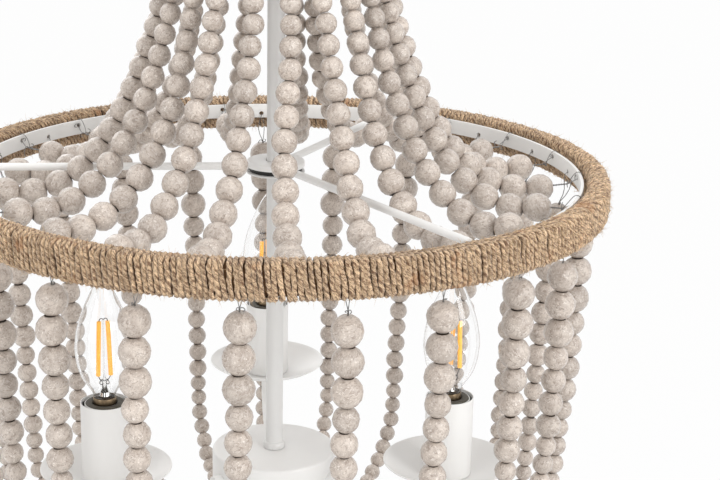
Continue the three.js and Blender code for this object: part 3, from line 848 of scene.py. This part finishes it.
def upper_hook(azimuth, bead_end, chance):
    """An upper string's wire: a twist from the bead, one end through the hole, one over the edge."""
    side = aside(azimuth)
    fork = at(HOOP_INNER - 7 + chance.uniform(-1.5, 1.5), azimuth, -8.0 + chance.uniform(-0.8, 0.8))
    lines = twisted(bead_end, fork, chance)
    a = chance.uniform(0.8, 1.8)
    lines.append([fork, fork + side * a, *at_hoop(
        azimuth, (-3, -6.2, a), (-0.5, -4.0, 0), (2.5, UPPER_HOLE, 0), (3, -6.5, 0))])
    b = -chance.uniform(0.8, 2.4)
    lines.append([fork, fork + side * b, *at_hoop(
        azimuth, (-4.5, -3.5, b), (-1.4, 0.7, b), (1, 0.9, b), (3, -0.4, b), (3, -4, b))])
    lines += [cut_end(fork, side, chance, chance.uniform(1.6, 5.5)) for _ in range(3)]
    lines.append(cut_end(*at_hoop(azimuth, (-1, -2.5, 0)), side, chance, chance.uniform(2, 4.5)))
    return lines


def lower_hook(azimuth, bead_end, chance):
    """A lower string's wire: out through its hole, down under the hoop and twisted to the bead."""
    fork = bead_end + Vector((0, 0, chance.uniform(1.2, 3.6))) * MM
    a, b = chance.uniform(0.8, 3.0), -chance.uniform(0.8, 3.0)
    lines = twisted(fork, bead_end, chance, turns=1.5)
    lines.append([fork, *at_hoop(
        azimuth, (-0.6, -21.5, a), (-1.4, -14, a), (-1.8, -8.4, 0), (-0.4, LOWER_HOLE, 0),
        (2.4, LOWER_HOLE, 0))])
    lines.append([fork, *at_hoop(
        azimuth, (0.6, -21.5, b), (2.6, -14, b), (3, -10, 0), (3, -7.2, 0), (2, LOWER_HOLE, 0))])
    lines += [cut_end(fork, aside(azimuth), chance, chance.uniform(1.2, 3.4)) for _ in range(2)]
    return lines


class ChandelierWires(bpy.types.Operator):
    """Bends the wire hooks at the hoop and runs the wires through the beads"""
    bl_idname = "chandelier.wires"
    bl_label = "Bead wires"

    def execute(self, context):
        chance = random.Random(SEED + 1)
        radius = sizes().wire_thickness / MM / 2
        for kind, line, wires, diameters in string_kinds():
            hook = upper_hook if kind == "upper" else lower_hook
            hooks, cores = [], []
            for i in range(STRINGS):
                points = string_points(kind, i, line) + [0, 0, HOOP_TOP]
                inner = points[along(points) > wires[i]] * MM
                hooks += hook(string_azimuth(kind, i), Vector(inner[0]), chance)
                cores.append([*inner[::6], inner[-1]])
            hand_over(joined(f"{kind}_wires", [
                bent(f"{kind}_hooks", hooks, radius),
                bent(f"{kind}_cores", cores, radius, order=4)]), "wire")
        return {"FINISHED"}


# Twine
def wrap_section(thickness):
    """The twine's way round the ring's section from the hidden inner foot, as (radius, height),
    and its outward normals: in short steps where it shows and longer ones where it doesn't."""
    inner, outer = WRAP_INNER + WRAP_CORNER, WRAP_OUTER - WRAP_CORNER
    low, high = WRAP_LOW + WRAP_CORNER, WRAP_HIGH - WRAP_CORNER
    path, normals = [], []
    for quarter, *middle in ((2, inner, low), (3, outer, low), (0, outer, high), (1, inner, high)):
        for angle in (quarter + np.arange(4) / 3) * math.pi / 2:
            out = np.array([math.cos(angle), math.sin(angle)])
            path.append(middle + out * (WRAP_CORNER - thickness / 2))
            normals.append(out)
    points, outs = [], []
    for i in range(len(path)):
        after = (i + 1) % len(path)
        gap = np.linalg.norm(path[after] - path[i])
        pieces = math.ceil(gap / (TWINE_STEP if 3 <= i < 12 else HIDDEN_STEP))
        for share in np.arange(pieces) / pieces:
            points.append(path[i] * (1 - share) + path[after] * share)
            outs.append(normals[i] * (1 - share) + normals[after] * share)
    return np.array(points), unit(np.array(outs))


def unit(vectors):
    return vectors / np.linalg.norm(vectors, axis=1)[:, None]


def about_stem(radius, azimuth, height):
    """Points, or directions, at a radius, an angle and a height."""
    return np.stack([radius * np.cos(azimuth), radius * np.sin(azimuth), height], axis=1)


def wound_twine(turns, thickness, chance):
    """One unbroken strand wound round the whole ring, with the slips and bulges of hand winding.
    Gives its rings of points, the twists made by each ring and the rings in a turn."""
    section, normals = wrap_section(thickness)
    steps = len(section)
    order = np.arange(turns * steps)
    reach = along(np.vstack([section, section[:1]]))
    turn = order // steps + reach[order % steps] / reach[-1]
    section, normals = section[order % steps], normals[order % steps]

    def by_turn(middle, spread):
        return np.repeat([chance.gauss(middle, spread) for _ in range(turns)], steps)

    def wandering(knots_a_turn):
        knots = [chance.gauss(0, 1) for _ in range(turns * knots_a_turn + 1)]
        return np.interp(turn * knots_a_turn, range(len(knots)), knots)

    waves = [(chance.uniform(0.2, 1), chance.uniform(0, TURN), chance.randint(9, 60))
             for _ in range(12)]
    slip = sum(a * np.sin(turn / turns * TURN * n + b) for a, b, n in waves) / 60
    jitter = by_turn(0, 0.05)
    wander = wandering(8)
    swell = wandering(6)
    slub = by_turn(0, 0.05) + swell * 0.06
    girth = thickness / 2 * (1.04 + np.clip(slub, -0.16, 0.12))
    rise = (section[:, 1] - (WRAP_LOW + WRAP_HIGH) / 2) / (WRAP_HIGH - WRAP_LOW) * 2
    azimuth = -(turn + slip + jitter + wander * 0.11) / turns * TURN
    azimuth -= normals[:, 0] * rise * TWINE_LEAN / WRAP_OUTER
    radius, height = (section + normals * np.roll(wander, 7)[:, None] * 0.15).T
    centre = about_stem(radius, azimuth, height)
    run = unit(np.roll(centre, -1, axis=0) - np.roll(centre, 1, axis=0))
    across = unit(np.cross(run, about_stem(normals[:, 0], azimuth, normals[:, 1])))
    out = np.cross(across, run)
    lay = by_turn(TWIST_LENGTH, 0.9)
    step = np.linalg.norm(np.roll(centre, -1, axis=0) - centre, axis=1)
    twists = np.concatenate([[0], np.cumsum(step / lay)])
    angles = np.arange(TWINE_SIDES) / TWINE_SIDES * TURN
    plies = 1 - PLY_DEPTH * (1 - np.cos(2 * (twists[:-1, None] * TURN + angles))) / 2
    spread = (plies * girth[:, None])[:, :, None]
    rings = centre[:, None] + spread * (
        out[:, None] * np.cos(angles)[:, None] + across[:, None] * np.sin(angles)[:, None] * 1.08)
    return rings, twists, steps


class ChandelierTwine(bpy.types.Operator):
    """Winds the jute twine round the ring, over a dark core, with its loose fibres"""
    bl_idname = "chandelier.twine"
    bl_label = "Twine wrap"

    def execute(self, context):
        chance = random.Random(SEED + 2)
        turns = sizes().twine_turns
        thickness = sizes().twine_thickness / MM
        rings, twists, steps = wound_twine(turns, thickness, chance)
        k, j = np.indices(rings.shape[:2])
        ring, ring_after = k * TWINE_SIDES, (k + 1) % len(rings) * TWINE_SIDES
        near = (j + 1) % TWINE_SIDES
        quads = np.stack([ring + j, ring + near, ring_after + near, ring_after + j], axis=2)
        twine = mesh_piece("jute_winding", rings.reshape(-1, 3), quads.reshape(-1, 4).tolist())
        start, end = twists[k], twists[k + 1]
        v, v_after = j / TWINE_SIDES, (j + 1) / TWINE_SIDES
        lay = twine.data.uv_layers.new(name="lay")
        lay.data.foreach_set("uv", np.stack(
            [start, v, start, v_after, end, v_after, end, v], axis=2).ravel())
        tones = [min(max(chance.gauss(0.5, 0.22), 0), 1) for _ in range(turns)]
        add_attribute(twine, "turn_tone", "FLOAT", "value", np.repeat(tones, steps * TWINE_SIDES))
        hand_over(twine, "twine", "jute_wrap")
        low, high = WRAP_LOW + thickness, WRAP_HIGH - thickness
        inner, outer = WRAP_INNER + thickness, WRAP_OUTER - thickness
        # the core under the turns is painted with the shade that falls between them
        hand_over(smooth(turned("wrap_core", [
            (inner, low + 2), (inner + 2, low), (outer - 2, low), (outer, low + 2),
            (outer, high - 2), (outer - 2, high), (inner + 2, high), (inner, high - 2)],
            168, closed=True)), "core")
        self.loose_fibres(rings, chance)
        return {"FINISHED"}

    def loose_fibres(self, rings, chance):
        """Single jute hairs, three-sided and tapering: most lie along the twine, some stand off."""
        def any_way():
            return Vector([chance.gauss(0, 1) for _ in range(3)]).normalized()

        # two bands of three faces, and a cap at each end
        hair = [(2, 1, 0), (6, 7, 8)]
        for low in (0, 3):
            hair += [(low + a, low + b, low + 3 + b, low + 3 + a) for a, b in ((0, 1), (1, 2), (2, 0))]
        points, faces = [], []
        for _ in range(FIBRES):
            k = chance.randrange(len(rings))
            centre = Vector(rings[k].mean(axis=0))
            root = Vector(rings[k][chance.choice([0, 0, 1, 5])])
            out = (root - centre).normalized()
            run = (Vector(rings[(k + 1) % len(rings)].mean(axis=0)) - centre).normalized()
            wander = any_way()
            if chance.random() < 0.7:
                way = (run * chance.choice([-1, 1]) + wander * 0.45 + out * 0.3).normalized()
            else:
                way = (out * chance.uniform(0.3, 0.9) + wander).normalized()
            if way.dot(out) < 0.08:
                way = (way + out * 0.4).normalized()
            bend = any_way()
            reach = chance.uniform(1.4, 5.0)
            side = way.orthogonal().normalized()
            other = way.cross(side)
            faces += [[len(points) + i for i in face] for face in hair]
            for share, girth in ((0, 0.095), (0.5, 0.075), (1, 0.02)):
                spot = root + way * reach * share + bend * reach * 0.25 * share ** 2
                for angle in (0, TURN / 3, TURN * 2 / 3):
                    points.append(spot + (side * math.cos(angle) + other * math.sin(angle)) * girth)
        hand_over(mesh_piece("jute_fibres", np.array(points), faces), "fibre")


# Steel frame
def radial_bar(name, inner, outer, azimuth, height, radius, sides=32):
    """A level round bar that points away from the stem."""
    return bar(name, at(inner, azimuth, height), at(outer, azimuth, height), radius, sides)


class ChandelierRing(bpy.types.Operator):
    """Bends the drilled hoop and sets the spokes and the hub on it"""
    bl_idname = "chandelier.ring"
    bl_label = "Hoop, spokes and hub"

    def execute(self, context):
        outer = HOOP_INNER + HOOP_THICKNESS
        hoop = turned("hoop", [
            (HOOP_INNER, -HOOP_HEIGHT), (outer, -HOOP_HEIGHT), (outer, 0), (HOOP_INNER, 0)],
            168, closed=True, edge=0.4)
        drill = joined("drills", [
            radial_bar("drill", HOOP_INNER - 3, outer + 3, HOLE_TURN + i * HOLE_PITCH,
                       UPPER_HOLE if i % 2 else LOWER_HOLE, HOLE_RADIUS, 20)
            for i in range(2 * STRINGS)])
        modified(hoop, "Drilled holes", "BOOLEAN", operation="DIFFERENCE", solver="EXACT", object=drill)
        bpy.data.objects.remove(drill)
        spokes = [
            radial_bar("spoke", 8, 197, SPOKE_TURN + TURN * i / SPOKES, SPOKE_HEIGHT, SPOKE_RADIUS)
            for i in range(SPOKES)]
        hand_over(smooth(joined("hoop_and_spokes", [hoop, *spokes])), "paint", "ring_frame")
        lid = turned("hub_cap", [
            (6.3, 5.0), (6.3, 6.2), (17.6, 6.2), (18.4, 5.6), (18.5, 2.4), (17.5, 2.4),
            (17.4, 5.0)], closed=True, edge=0.25)
        hand_over(smooth(lid), "paint", "hub_washer")
        spacer = turned("hub_spacer", [
            (6.2, -0.4), (16.8, -0.4), (16.8, 4.8), (6.2, 4.8)], 64, closed=True, edge=0.3)
        hand_over(smooth(spacer), "near_black")
        return {"FINISHED"}


class ChandelierStem(bpy.types.Operator):
    """Turns the stem with its hub disc and foot collar"""
    bl_idname = "chandelier.stem"
    bl_label = "Stem"

    def execute(self, context):
        foot = DRUM_TOP + GAP
        stem = turned("stem_tube", [
            (0, foot), (7.2, foot), (7.2, foot + 2.4), (6.5, foot + 3.9), (STEM_RADIUS, foot + 4.3),
            (STEM_RADIUS, -1.8), (18.2, -1.8), (18.5, -1.5), (18.5, -0.6), (STEM_RADIUS, -0.5),
            (STEM_RADIUS, STEM_TOP), (0, STEM_TOP)], 64, edge=0.25)
        hand_over(smooth(stem), "tube_paint", "stem")
        return {"FINISHED"}


class ChandelierCrown(bpy.types.Operator):
    """Presses the crown that carries the upper strings"""
    bl_idname = "chandelier.crown"
    bl_label = "Crown"

    def execute(self, context):
        low = CROWN_HEIGHT + GAP
        rim = CROWN_RADIUS + 0.8
        crown = turned("pressed_crown", [
            (rim, low), (rim, low + 8.5), (rim - 0.8, low + 10.4), (rim - 3, low + 11.6),
            (40, low + 15.2), (24, low + 19), (8.8, low + 23), (5.9, low + 23),
            (5.9, low + 21.4), (24, low + 17.4), (40, low + 13.6), (rim - 4, low + 9.6),
            (rim - 1.6, low + 8), (rim - 1.6, low)], 96, closed=True, edge=0.3)
        hand_over(smooth(crown), "paint", "crown")
        return {"FINISHED"}


class ChandelierDrum(bpy.types.Operator):
    """Turns the drum and bends its three arms"""
    bl_idname = "chandelier.drum"
    bl_label = "Drum and arms"

    def execute(self, context):
        drum = turned("drum", [
            (0, DRUM_FOOT), (DRUM_RADIUS, DRUM_FOOT), (DRUM_RADIUS, DRUM_TOP), (0, DRUM_TOP)], 96)
        parts = [rounded(drum, 1.8, 4)]
        arm_height = DRUM_TOP - 16.5
        arm_top = SAUCER_FOOT - GAP
        bend = arm_top - arm_height
        for i in range(LIGHTS):
            azimuth = light_azimuth(i)
            elbow = [
                at(LIGHT_CIRCLE - bend + bend * math.sin(a), azimuth, arm_top - bend * math.cos(a))
                for a in np.linspace(0, math.pi / 2, 9)]
            parts.append(bent("arm", [
                [at(28, azimuth, arm_height), at(60, azimuth, arm_height), *elbow]], 4, sides=24))
            parts.append(rounded(radial_bar("arm_collar", 30, 46.7, azimuth, arm_height, 5.6), 0.6))
            parts.append(rounded(bar(
                "arm_cap", at(LIGHT_CIRCLE, azimuth, arm_top - 2.2),
                at(LIGHT_CIRCLE, azimuth, arm_top), 10, 48), 0.5))
        hand_over(smooth(joined("drum_with_arms", parts)), "paint", "drum_and_arms")
        return {"FINISHED"}


class ChandelierPlate(bpy.types.Operator):
    """Turns the bottom plate with its rod and finial"""
    bl_idname = "chandelier.plate"
    bl_label = "Bottom plate"

    def execute(self, context):
        floor = -BASKET_DEPTH
        low = floor - 4.5
        knob = [(11 * math.sin(a), low - 11 - 11 * math.cos(a))
                for a in np.linspace(0, math.radians(155), 16)]
        plate = turned("gathering_plate", [
            *knob, (4.6, low + 0.6), (4.0, floor - 2), (48, floor - 2), (48, low), (PLATE_RADIUS, low),
            (PLATE_RADIUS, floor + 4.5), (48, floor + 4.5), (48, floor), (4, floor),
            (4, DRUM_FOOT - GAP), (0, DRUM_FOOT - GAP)], 96, edge=0.35)
        hand_over(smooth(plate), "paint", "bottom_plate")
        return {"FINISHED"}


class ChandelierHanger(bpy.types.Operator):
    """Forms the top loop and the hanging link"""
    bl_idname = "chandelier.hanger"
    bl_label = "Loop and link"

    def execute(self, context):
        foot = STEM_TOP + GAP
        collar = rounded(bar("loop_collar", at(0, 0, foot), at(0, 0, foot + 9), 8, 48), 0.8, 3)
        ring = [Vector((0, 11 * math.cos(a), 11 * math.sin(a) + foot + 20 + HOOP_TOP)) * MM
                for a in np.linspace(0, TURN, 33)[:-1]]
        loop = bent("loop", [ring], 2.6, closed=True, sides=24)
        hand_over(smooth(joined("top_ring", [collar, loop])), "paint", "top_loop")
        oval = [Vector((9 * math.cos(a), 0, 18 * math.sin(a) + LINK_MIDDLE + HOOP_TOP)) * MM
                for a in np.linspace(0, TURN, 41)[:-1]]
        link = bent("oval_link", [oval], 2.5, closed=True, sides=24)
        hand_over(link, "zinc", "hanger_link", body="link")
        return {"FINISHED"}


class ChandelierLights(bpy.types.Operator):
    """Builds the saucers, candle sleeves, sockets and bulbs"""
    bl_idname = "chandelier.lights"
    bl_label = "Lights"

    def execute(self, context):
        for i in range(LIGHTS):
            for build in (self.saucer, self.sleeve, self.bulb, self.bulb_inside):
                build(i, light_seat(i))
        return {"FINISHED"}

    def saucer(self, i, seat):
        """A shallow pressed dish with a rolled rim."""
        dish = turned(f"dish_{i + 1}", [(r, SAUCER_FOOT + h) for r, h in (
            (0, 0), (15, 0), (17.5, 0.35), (23, 1.6), (29, 3.4), (35, 5.9), (39.6, 8.6), (40.7, 9.5),
            (40.6, 10), (39.9, 10), (38.7, 9.2), (34.4, 7.1), (28.6, 4.7), (22.7, 3.0), (17.4, 1.8),
            (15, SAUCER_THICKNESS), (0, SAUCER_THICKNESS))], 96, seat=seat)
        hand_over(smooth(dish, 60), "paint", f"saucer_{i + 1}")

    def sleeve(self, i, seat):
        """A candle sleeve with a loose white liner ring and the grey socket inside it."""
        foot = SAUCER_FOOT + SAUCER_THICKNESS + GAP
        offset = Vector((*LINER_OFFSETS[i], 0)) * MM
        tube = turned("tube", [
            (0, foot), (SLEEVE_RADIUS, foot), (SLEEVE_RADIUS, SLEEVE_TOP), (14.4, SLEEVE_TOP),
            (14.4, SLEEVE_FLOOR), (0, SLEEVE_FLOOR)], edge=0.2)
        liner = turned("liner", [
            (13.3, SLEEVE_FLOOR), (13.3, SLEEVE_TOP - 0.8), (12.6, SLEEVE_TOP - 0.8),
            (12.6, SLEEVE_FLOOR)], 64, closed=True, edge=0.15, seat=offset)
        pair = joined(f"candle_sleeve_{i + 1}", [tube, liner])
        hand_over(smooth(shift(pair, seat)), "paint", f"sleeve_{i + 1}")
        socket = turned(f"socket_{i + 1}", [
            (7.3, -154), (12.3, -154), (12.3, -132.4), (11.6, SLEEVE_TOP - 0.3),
            (7.9, SLEEVE_TOP - 0.3), (7.3, -132)], 64, closed=True, edge=0.3, seat=seat)
        hand_over(smooth(socket), "socket")
        # painted shade: a nearly black ring down in the gap between the sleeve and its liner
        card = turned(f"sleeve_gap_shade_ring_{i + 1}", [
            (13.5, -157), (13.5, SLEEVE_TOP - 1.8), (14.2, SLEEVE_TOP - 1.8), (14.2, -157)],
            64, closed=True, seat=seat + offset * 0.2)
        hand_over(smooth(card), "near_black")

    def bulb(self, i, seat):
        """A clear candle bulb's blown envelope, its screw cap and the cement that joins them."""
        body = f"bulb_{i + 1}"
        glass = turned(f"envelope_{i + 1}", smooth_path(GLASS_OUTLINE, 3), 64, seat=seat)
        modified(glass, "Glass wall", "SOLIDIFY", thickness=GLASS_WALL * MM, offset=-1)
        hand_over(smooth(glass, 80), "glass", body, body=body)
        thread = [(6.9 if k % 2 else 6.2, -148.5 + k * 1.4) for k in range(12)]
        cap = turned(f"screw_cap_{i + 1}", [
            (0, BULB_FOOT), (2.5, BULB_FOOT), (3.0, -151.4), (5.6, -150.2), *thread,
            (6.3, -132.4), (7.2, -131.2), (7.25, -128.4), (7.0, -127.7), (6.7, -127.7),
            (6.6, -130), (0, -130)], 48, seat=seat)
        hand_over(smooth(cap), "cap", body=body)
        plug = turned(f"cap_cement_{i + 1}", [
            (0, -129.8), (5.9, -129.8), (5.9, -127.6), (4.9, -127), (0, -127)], 48, seat=seat)
        hand_over(smooth(plug), "cement", body=body)

    def bulb_inside(self, i, seat):
        """The glass stem, the filaments and the lead wires."""
        body = f"bulb_{i + 1}"
        turn = Matrix.Rotation(math.radians(FILAMENT_TURNS[i]), 3, "Z")
        foot, top = FILAMENT_SPANS[i]

        def spot(across, depth, height):
            lean = FILAMENT_LEANS[i] * min((height + 127) / 12, 1)
            return (turn @ Vector((across, depth, 0)) + Vector((lean, 0, HOOP_TOP + height))) * MM + seat

        stem = turned(f"press_stem_{i + 1}", [
            (0, -126.9), (3.4, -126.9), (2.4, -124.5), (1.5, -122), (1.3, -119), (1.2, -116.5),
            (0.7, -115.2), (0.6, -113), (0.6, top - 0.5), (0.8, top + 0.4), (0.5, top + 1.1),
            (0, top + 1.2)], 32, seat=seat)
        hand_over(smooth(stem, 60), "glass", body=body)
        leads = (
            ((0.4, 0, -126.8), (0.5, 0.2, -121), (1.6, 0.6, -117.4), (2.8, 0.3, foot - 2.8),
             (3.9, 0, foot)),
            ((2.7, 0, top), (2.4, 0, top + 1.6), (0.9, 0, top + 2.1), (0, 0, top + 1.1)),
            ((0.5, 0.3, -119), (2.4, -0.8, -120.4), (3.2, 0.7, -118.6), (1.2, 1.0, -116.2),
             (0.2, -0.6, -117.4)))
        sticks, wires = [], []
        for side in (-1, 1):
            sticks.append([spot(side * (3.9 - 1.2 * k / 6), 0, foot + (top - foot) * k / 6)
                           for k in range(7)])
            wires += [[spot(side * x, y, z) for x, y, z in lead] for lead in leads]
        filaments = bent(f"filaments_{i + 1}", sticks, 1.4, sides=12)
        hand_over(filaments, "filament", body=body)
        hand_over(bent(f"lead_wires_{i + 1}", wires, 0.28), "lead", body=body)


# Stage
def seen_as_background(tree):
    """One where the camera looks at the background, also by way of metal or glass, else zero."""
    path = add(tree, "ShaderNodeLightPath").outputs
    seen = path["Is Camera Ray"]
    for ray in ("Is Glossy Ray", "Is Transmission Ray"):
        seen = add(tree, "ShaderNodeMath", {0: seen, 1: path[ray]}, operation="MAXIMUM").outputs[0]
    return seen


def pale_floor():
    """Matt white board that shows a soft shadow and otherwise matches the white surround."""
    material, tree = new_material("matt_white_floor")
    share = add(tree, "ShaderNodeMath", {0: seen_as_background(tree), 1: 0.9}, operation="MULTIPLY")
    board = add(tree, "ShaderNodeBsdfDiffuse", {"Color": srgb("f2f2f1")})
    white = add(tree, "ShaderNodeEmission", {"Color": srgb("ffffff"), "Strength": 1.0})
    finish_material(tree, add(tree, "ShaderNodeMixShader", {
        0: share.outputs[0], 1: board.outputs[0], 2: white.outputs[0]}).outputs["Shader"])
    return material


class ChandelierStage(bpy.types.Operator):
    """Sets the pale floor, the white surround, the soft lamps and the camera"""
    bl_idname = "chandelier.stage"
    bl_label = "Stage"

    def execute(self, context):
        context.scene.view_settings.view_transform = "Standard"
        self.camera(context)
        self.lamps()
        self.surround(context)
        return {"FINISHED"}

    def camera(self, context):
        yaw, pitch, roll = (math.radians(a) for a in (CAMERA_YAW, CAMERA_PITCH, CAMERA_ROLL))
        ahead = Vector((
            math.sin(yaw) * math.cos(pitch), math.cos(yaw) * math.cos(pitch), math.sin(pitch)))
        right = Vector((math.cos(yaw), -math.sin(yaw), 0))
        up = right.cross(ahead)
        right, up = (
            right * math.cos(roll) + up * math.sin(roll), up * math.cos(roll) - right * math.sin(roll))
        x, y, z = CAMERA_PLACE
        bpy.ops.object.camera_add(
            location=(x * MM, y * MM, (z + HOOP_TOP) * MM),
            rotation=Matrix((right, up, -ahead)).transposed().to_euler())
        camera = bpy.context.object
        camera.name = "camera"
        camera.data.sensor_width = 36
        camera.data.lens = CAMERA_LENS
        camera.data.clip_start = 0.01
        context.scene.camera = camera

    def lamps(self):
        for name, place, width, power in LAMPS:
            aim = Vector((0, 0, HOOP_TOP * MM)) - Vector(place)
            bpy.ops.object.light_add(
                type="AREA", location=place, rotation=aim.to_track_quat("-Z", "Y").to_euler())
            lamp = bpy.context.object
            lamp.name = name
            lamp.data.shape = "SQUARE"
            lamp.data.size = width
            lamp.data.energy = power

    def surround(self, context):
        world = context.scene.world or bpy.data.worlds.new("Surround")
        context.scene.world = world
        world.use_nodes = True
        tree = world.node_tree
        tree.nodes.clear()
        seen = seen_as_background(tree)
        glow, white = (
            add(tree, "ShaderNodeBackground", {"Color": srgb("ffffff"), "Strength": strength})
            for strength in (SURROUND_GLOW, 1.0))
        mix = add(tree, "ShaderNodeMixShader", {0: seen, 1: glow.outputs[0], 2: white.outputs[0]})
        add(tree, "ShaderNodeOutputWorld", {"Surface": mix.outputs[0]})
        deselect_all()
        bpy.ops.mesh.primitive_plane_add(
            size=FLOOR_SIZE, location=(0, 0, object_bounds()[0].z - FLOOR_DROP))
        bpy.ops.object.transform_apply(location=True, rotation=True, scale=True)
        floor = bpy.context.object
        floor.name = "floor"
        floor.data.materials.append(pale_floor())
        floor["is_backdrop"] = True


class ChandelierPanel(bpy.types.Panel):
    bl_idname = "VIEW3D_PT_chandelier"
    bl_label = "Beaded chandelier"
    bl_space_type = "VIEW_3D"
    bl_region_type = "UI"
    bl_category = "Chandelier"

    def draw(self, context):
        for group in (sizes(), finishes()):
            column = self.layout.column()
            for name in group.__annotations__:
                column.prop(group, name)
        for operator in OPERATORS:
            self.layout.operator(operator.bl_idname)


OPERATORS = (
    ChandelierStage, ChandelierRing, ChandelierStem, ChandelierCrown, ChandelierDrum,
    ChandelierPlate, ChandelierHanger, ChandelierLights, ChandelierTwine, ChandelierStrings,
    ChandelierWires)
CLASSES = (ChandelierSizes, ChandelierFinishes, *OPERATORS, ChandelierPanel)


def register():
    for cls in CLASSES:
        bpy.utils.register_class(cls)
    bpy.types.Scene.chandelier_sizes = PointerProperty(type=ChandelierSizes)
    bpy.types.Scene.chandelier_finishes = PointerProperty(type=ChandelierFinishes)


def unregister():
    del bpy.types.Scene.chandelier_finishes
    del bpy.types.Scene.chandelier_sizes
    for cls in reversed(CLASSES):
        bpy.utils.unregister_class(cls)


def main():
    register()
    bpy.ops.chandelier.stage()
    bpy.ops.chandelier.ring()
    bpy.ops.chandelier.stem()
    bpy.ops.chandelier.crown()
    bpy.ops.chandelier.drum()
    bpy.ops.chandelier.plate()
    bpy.ops.chandelier.hanger()
    bpy.ops.chandelier.lights()
    bpy.ops.chandelier.twine()
    bpy.ops.chandelier.strings()
    bpy.ops.chandelier.wires()


if __name__ == "__main__":
    main()
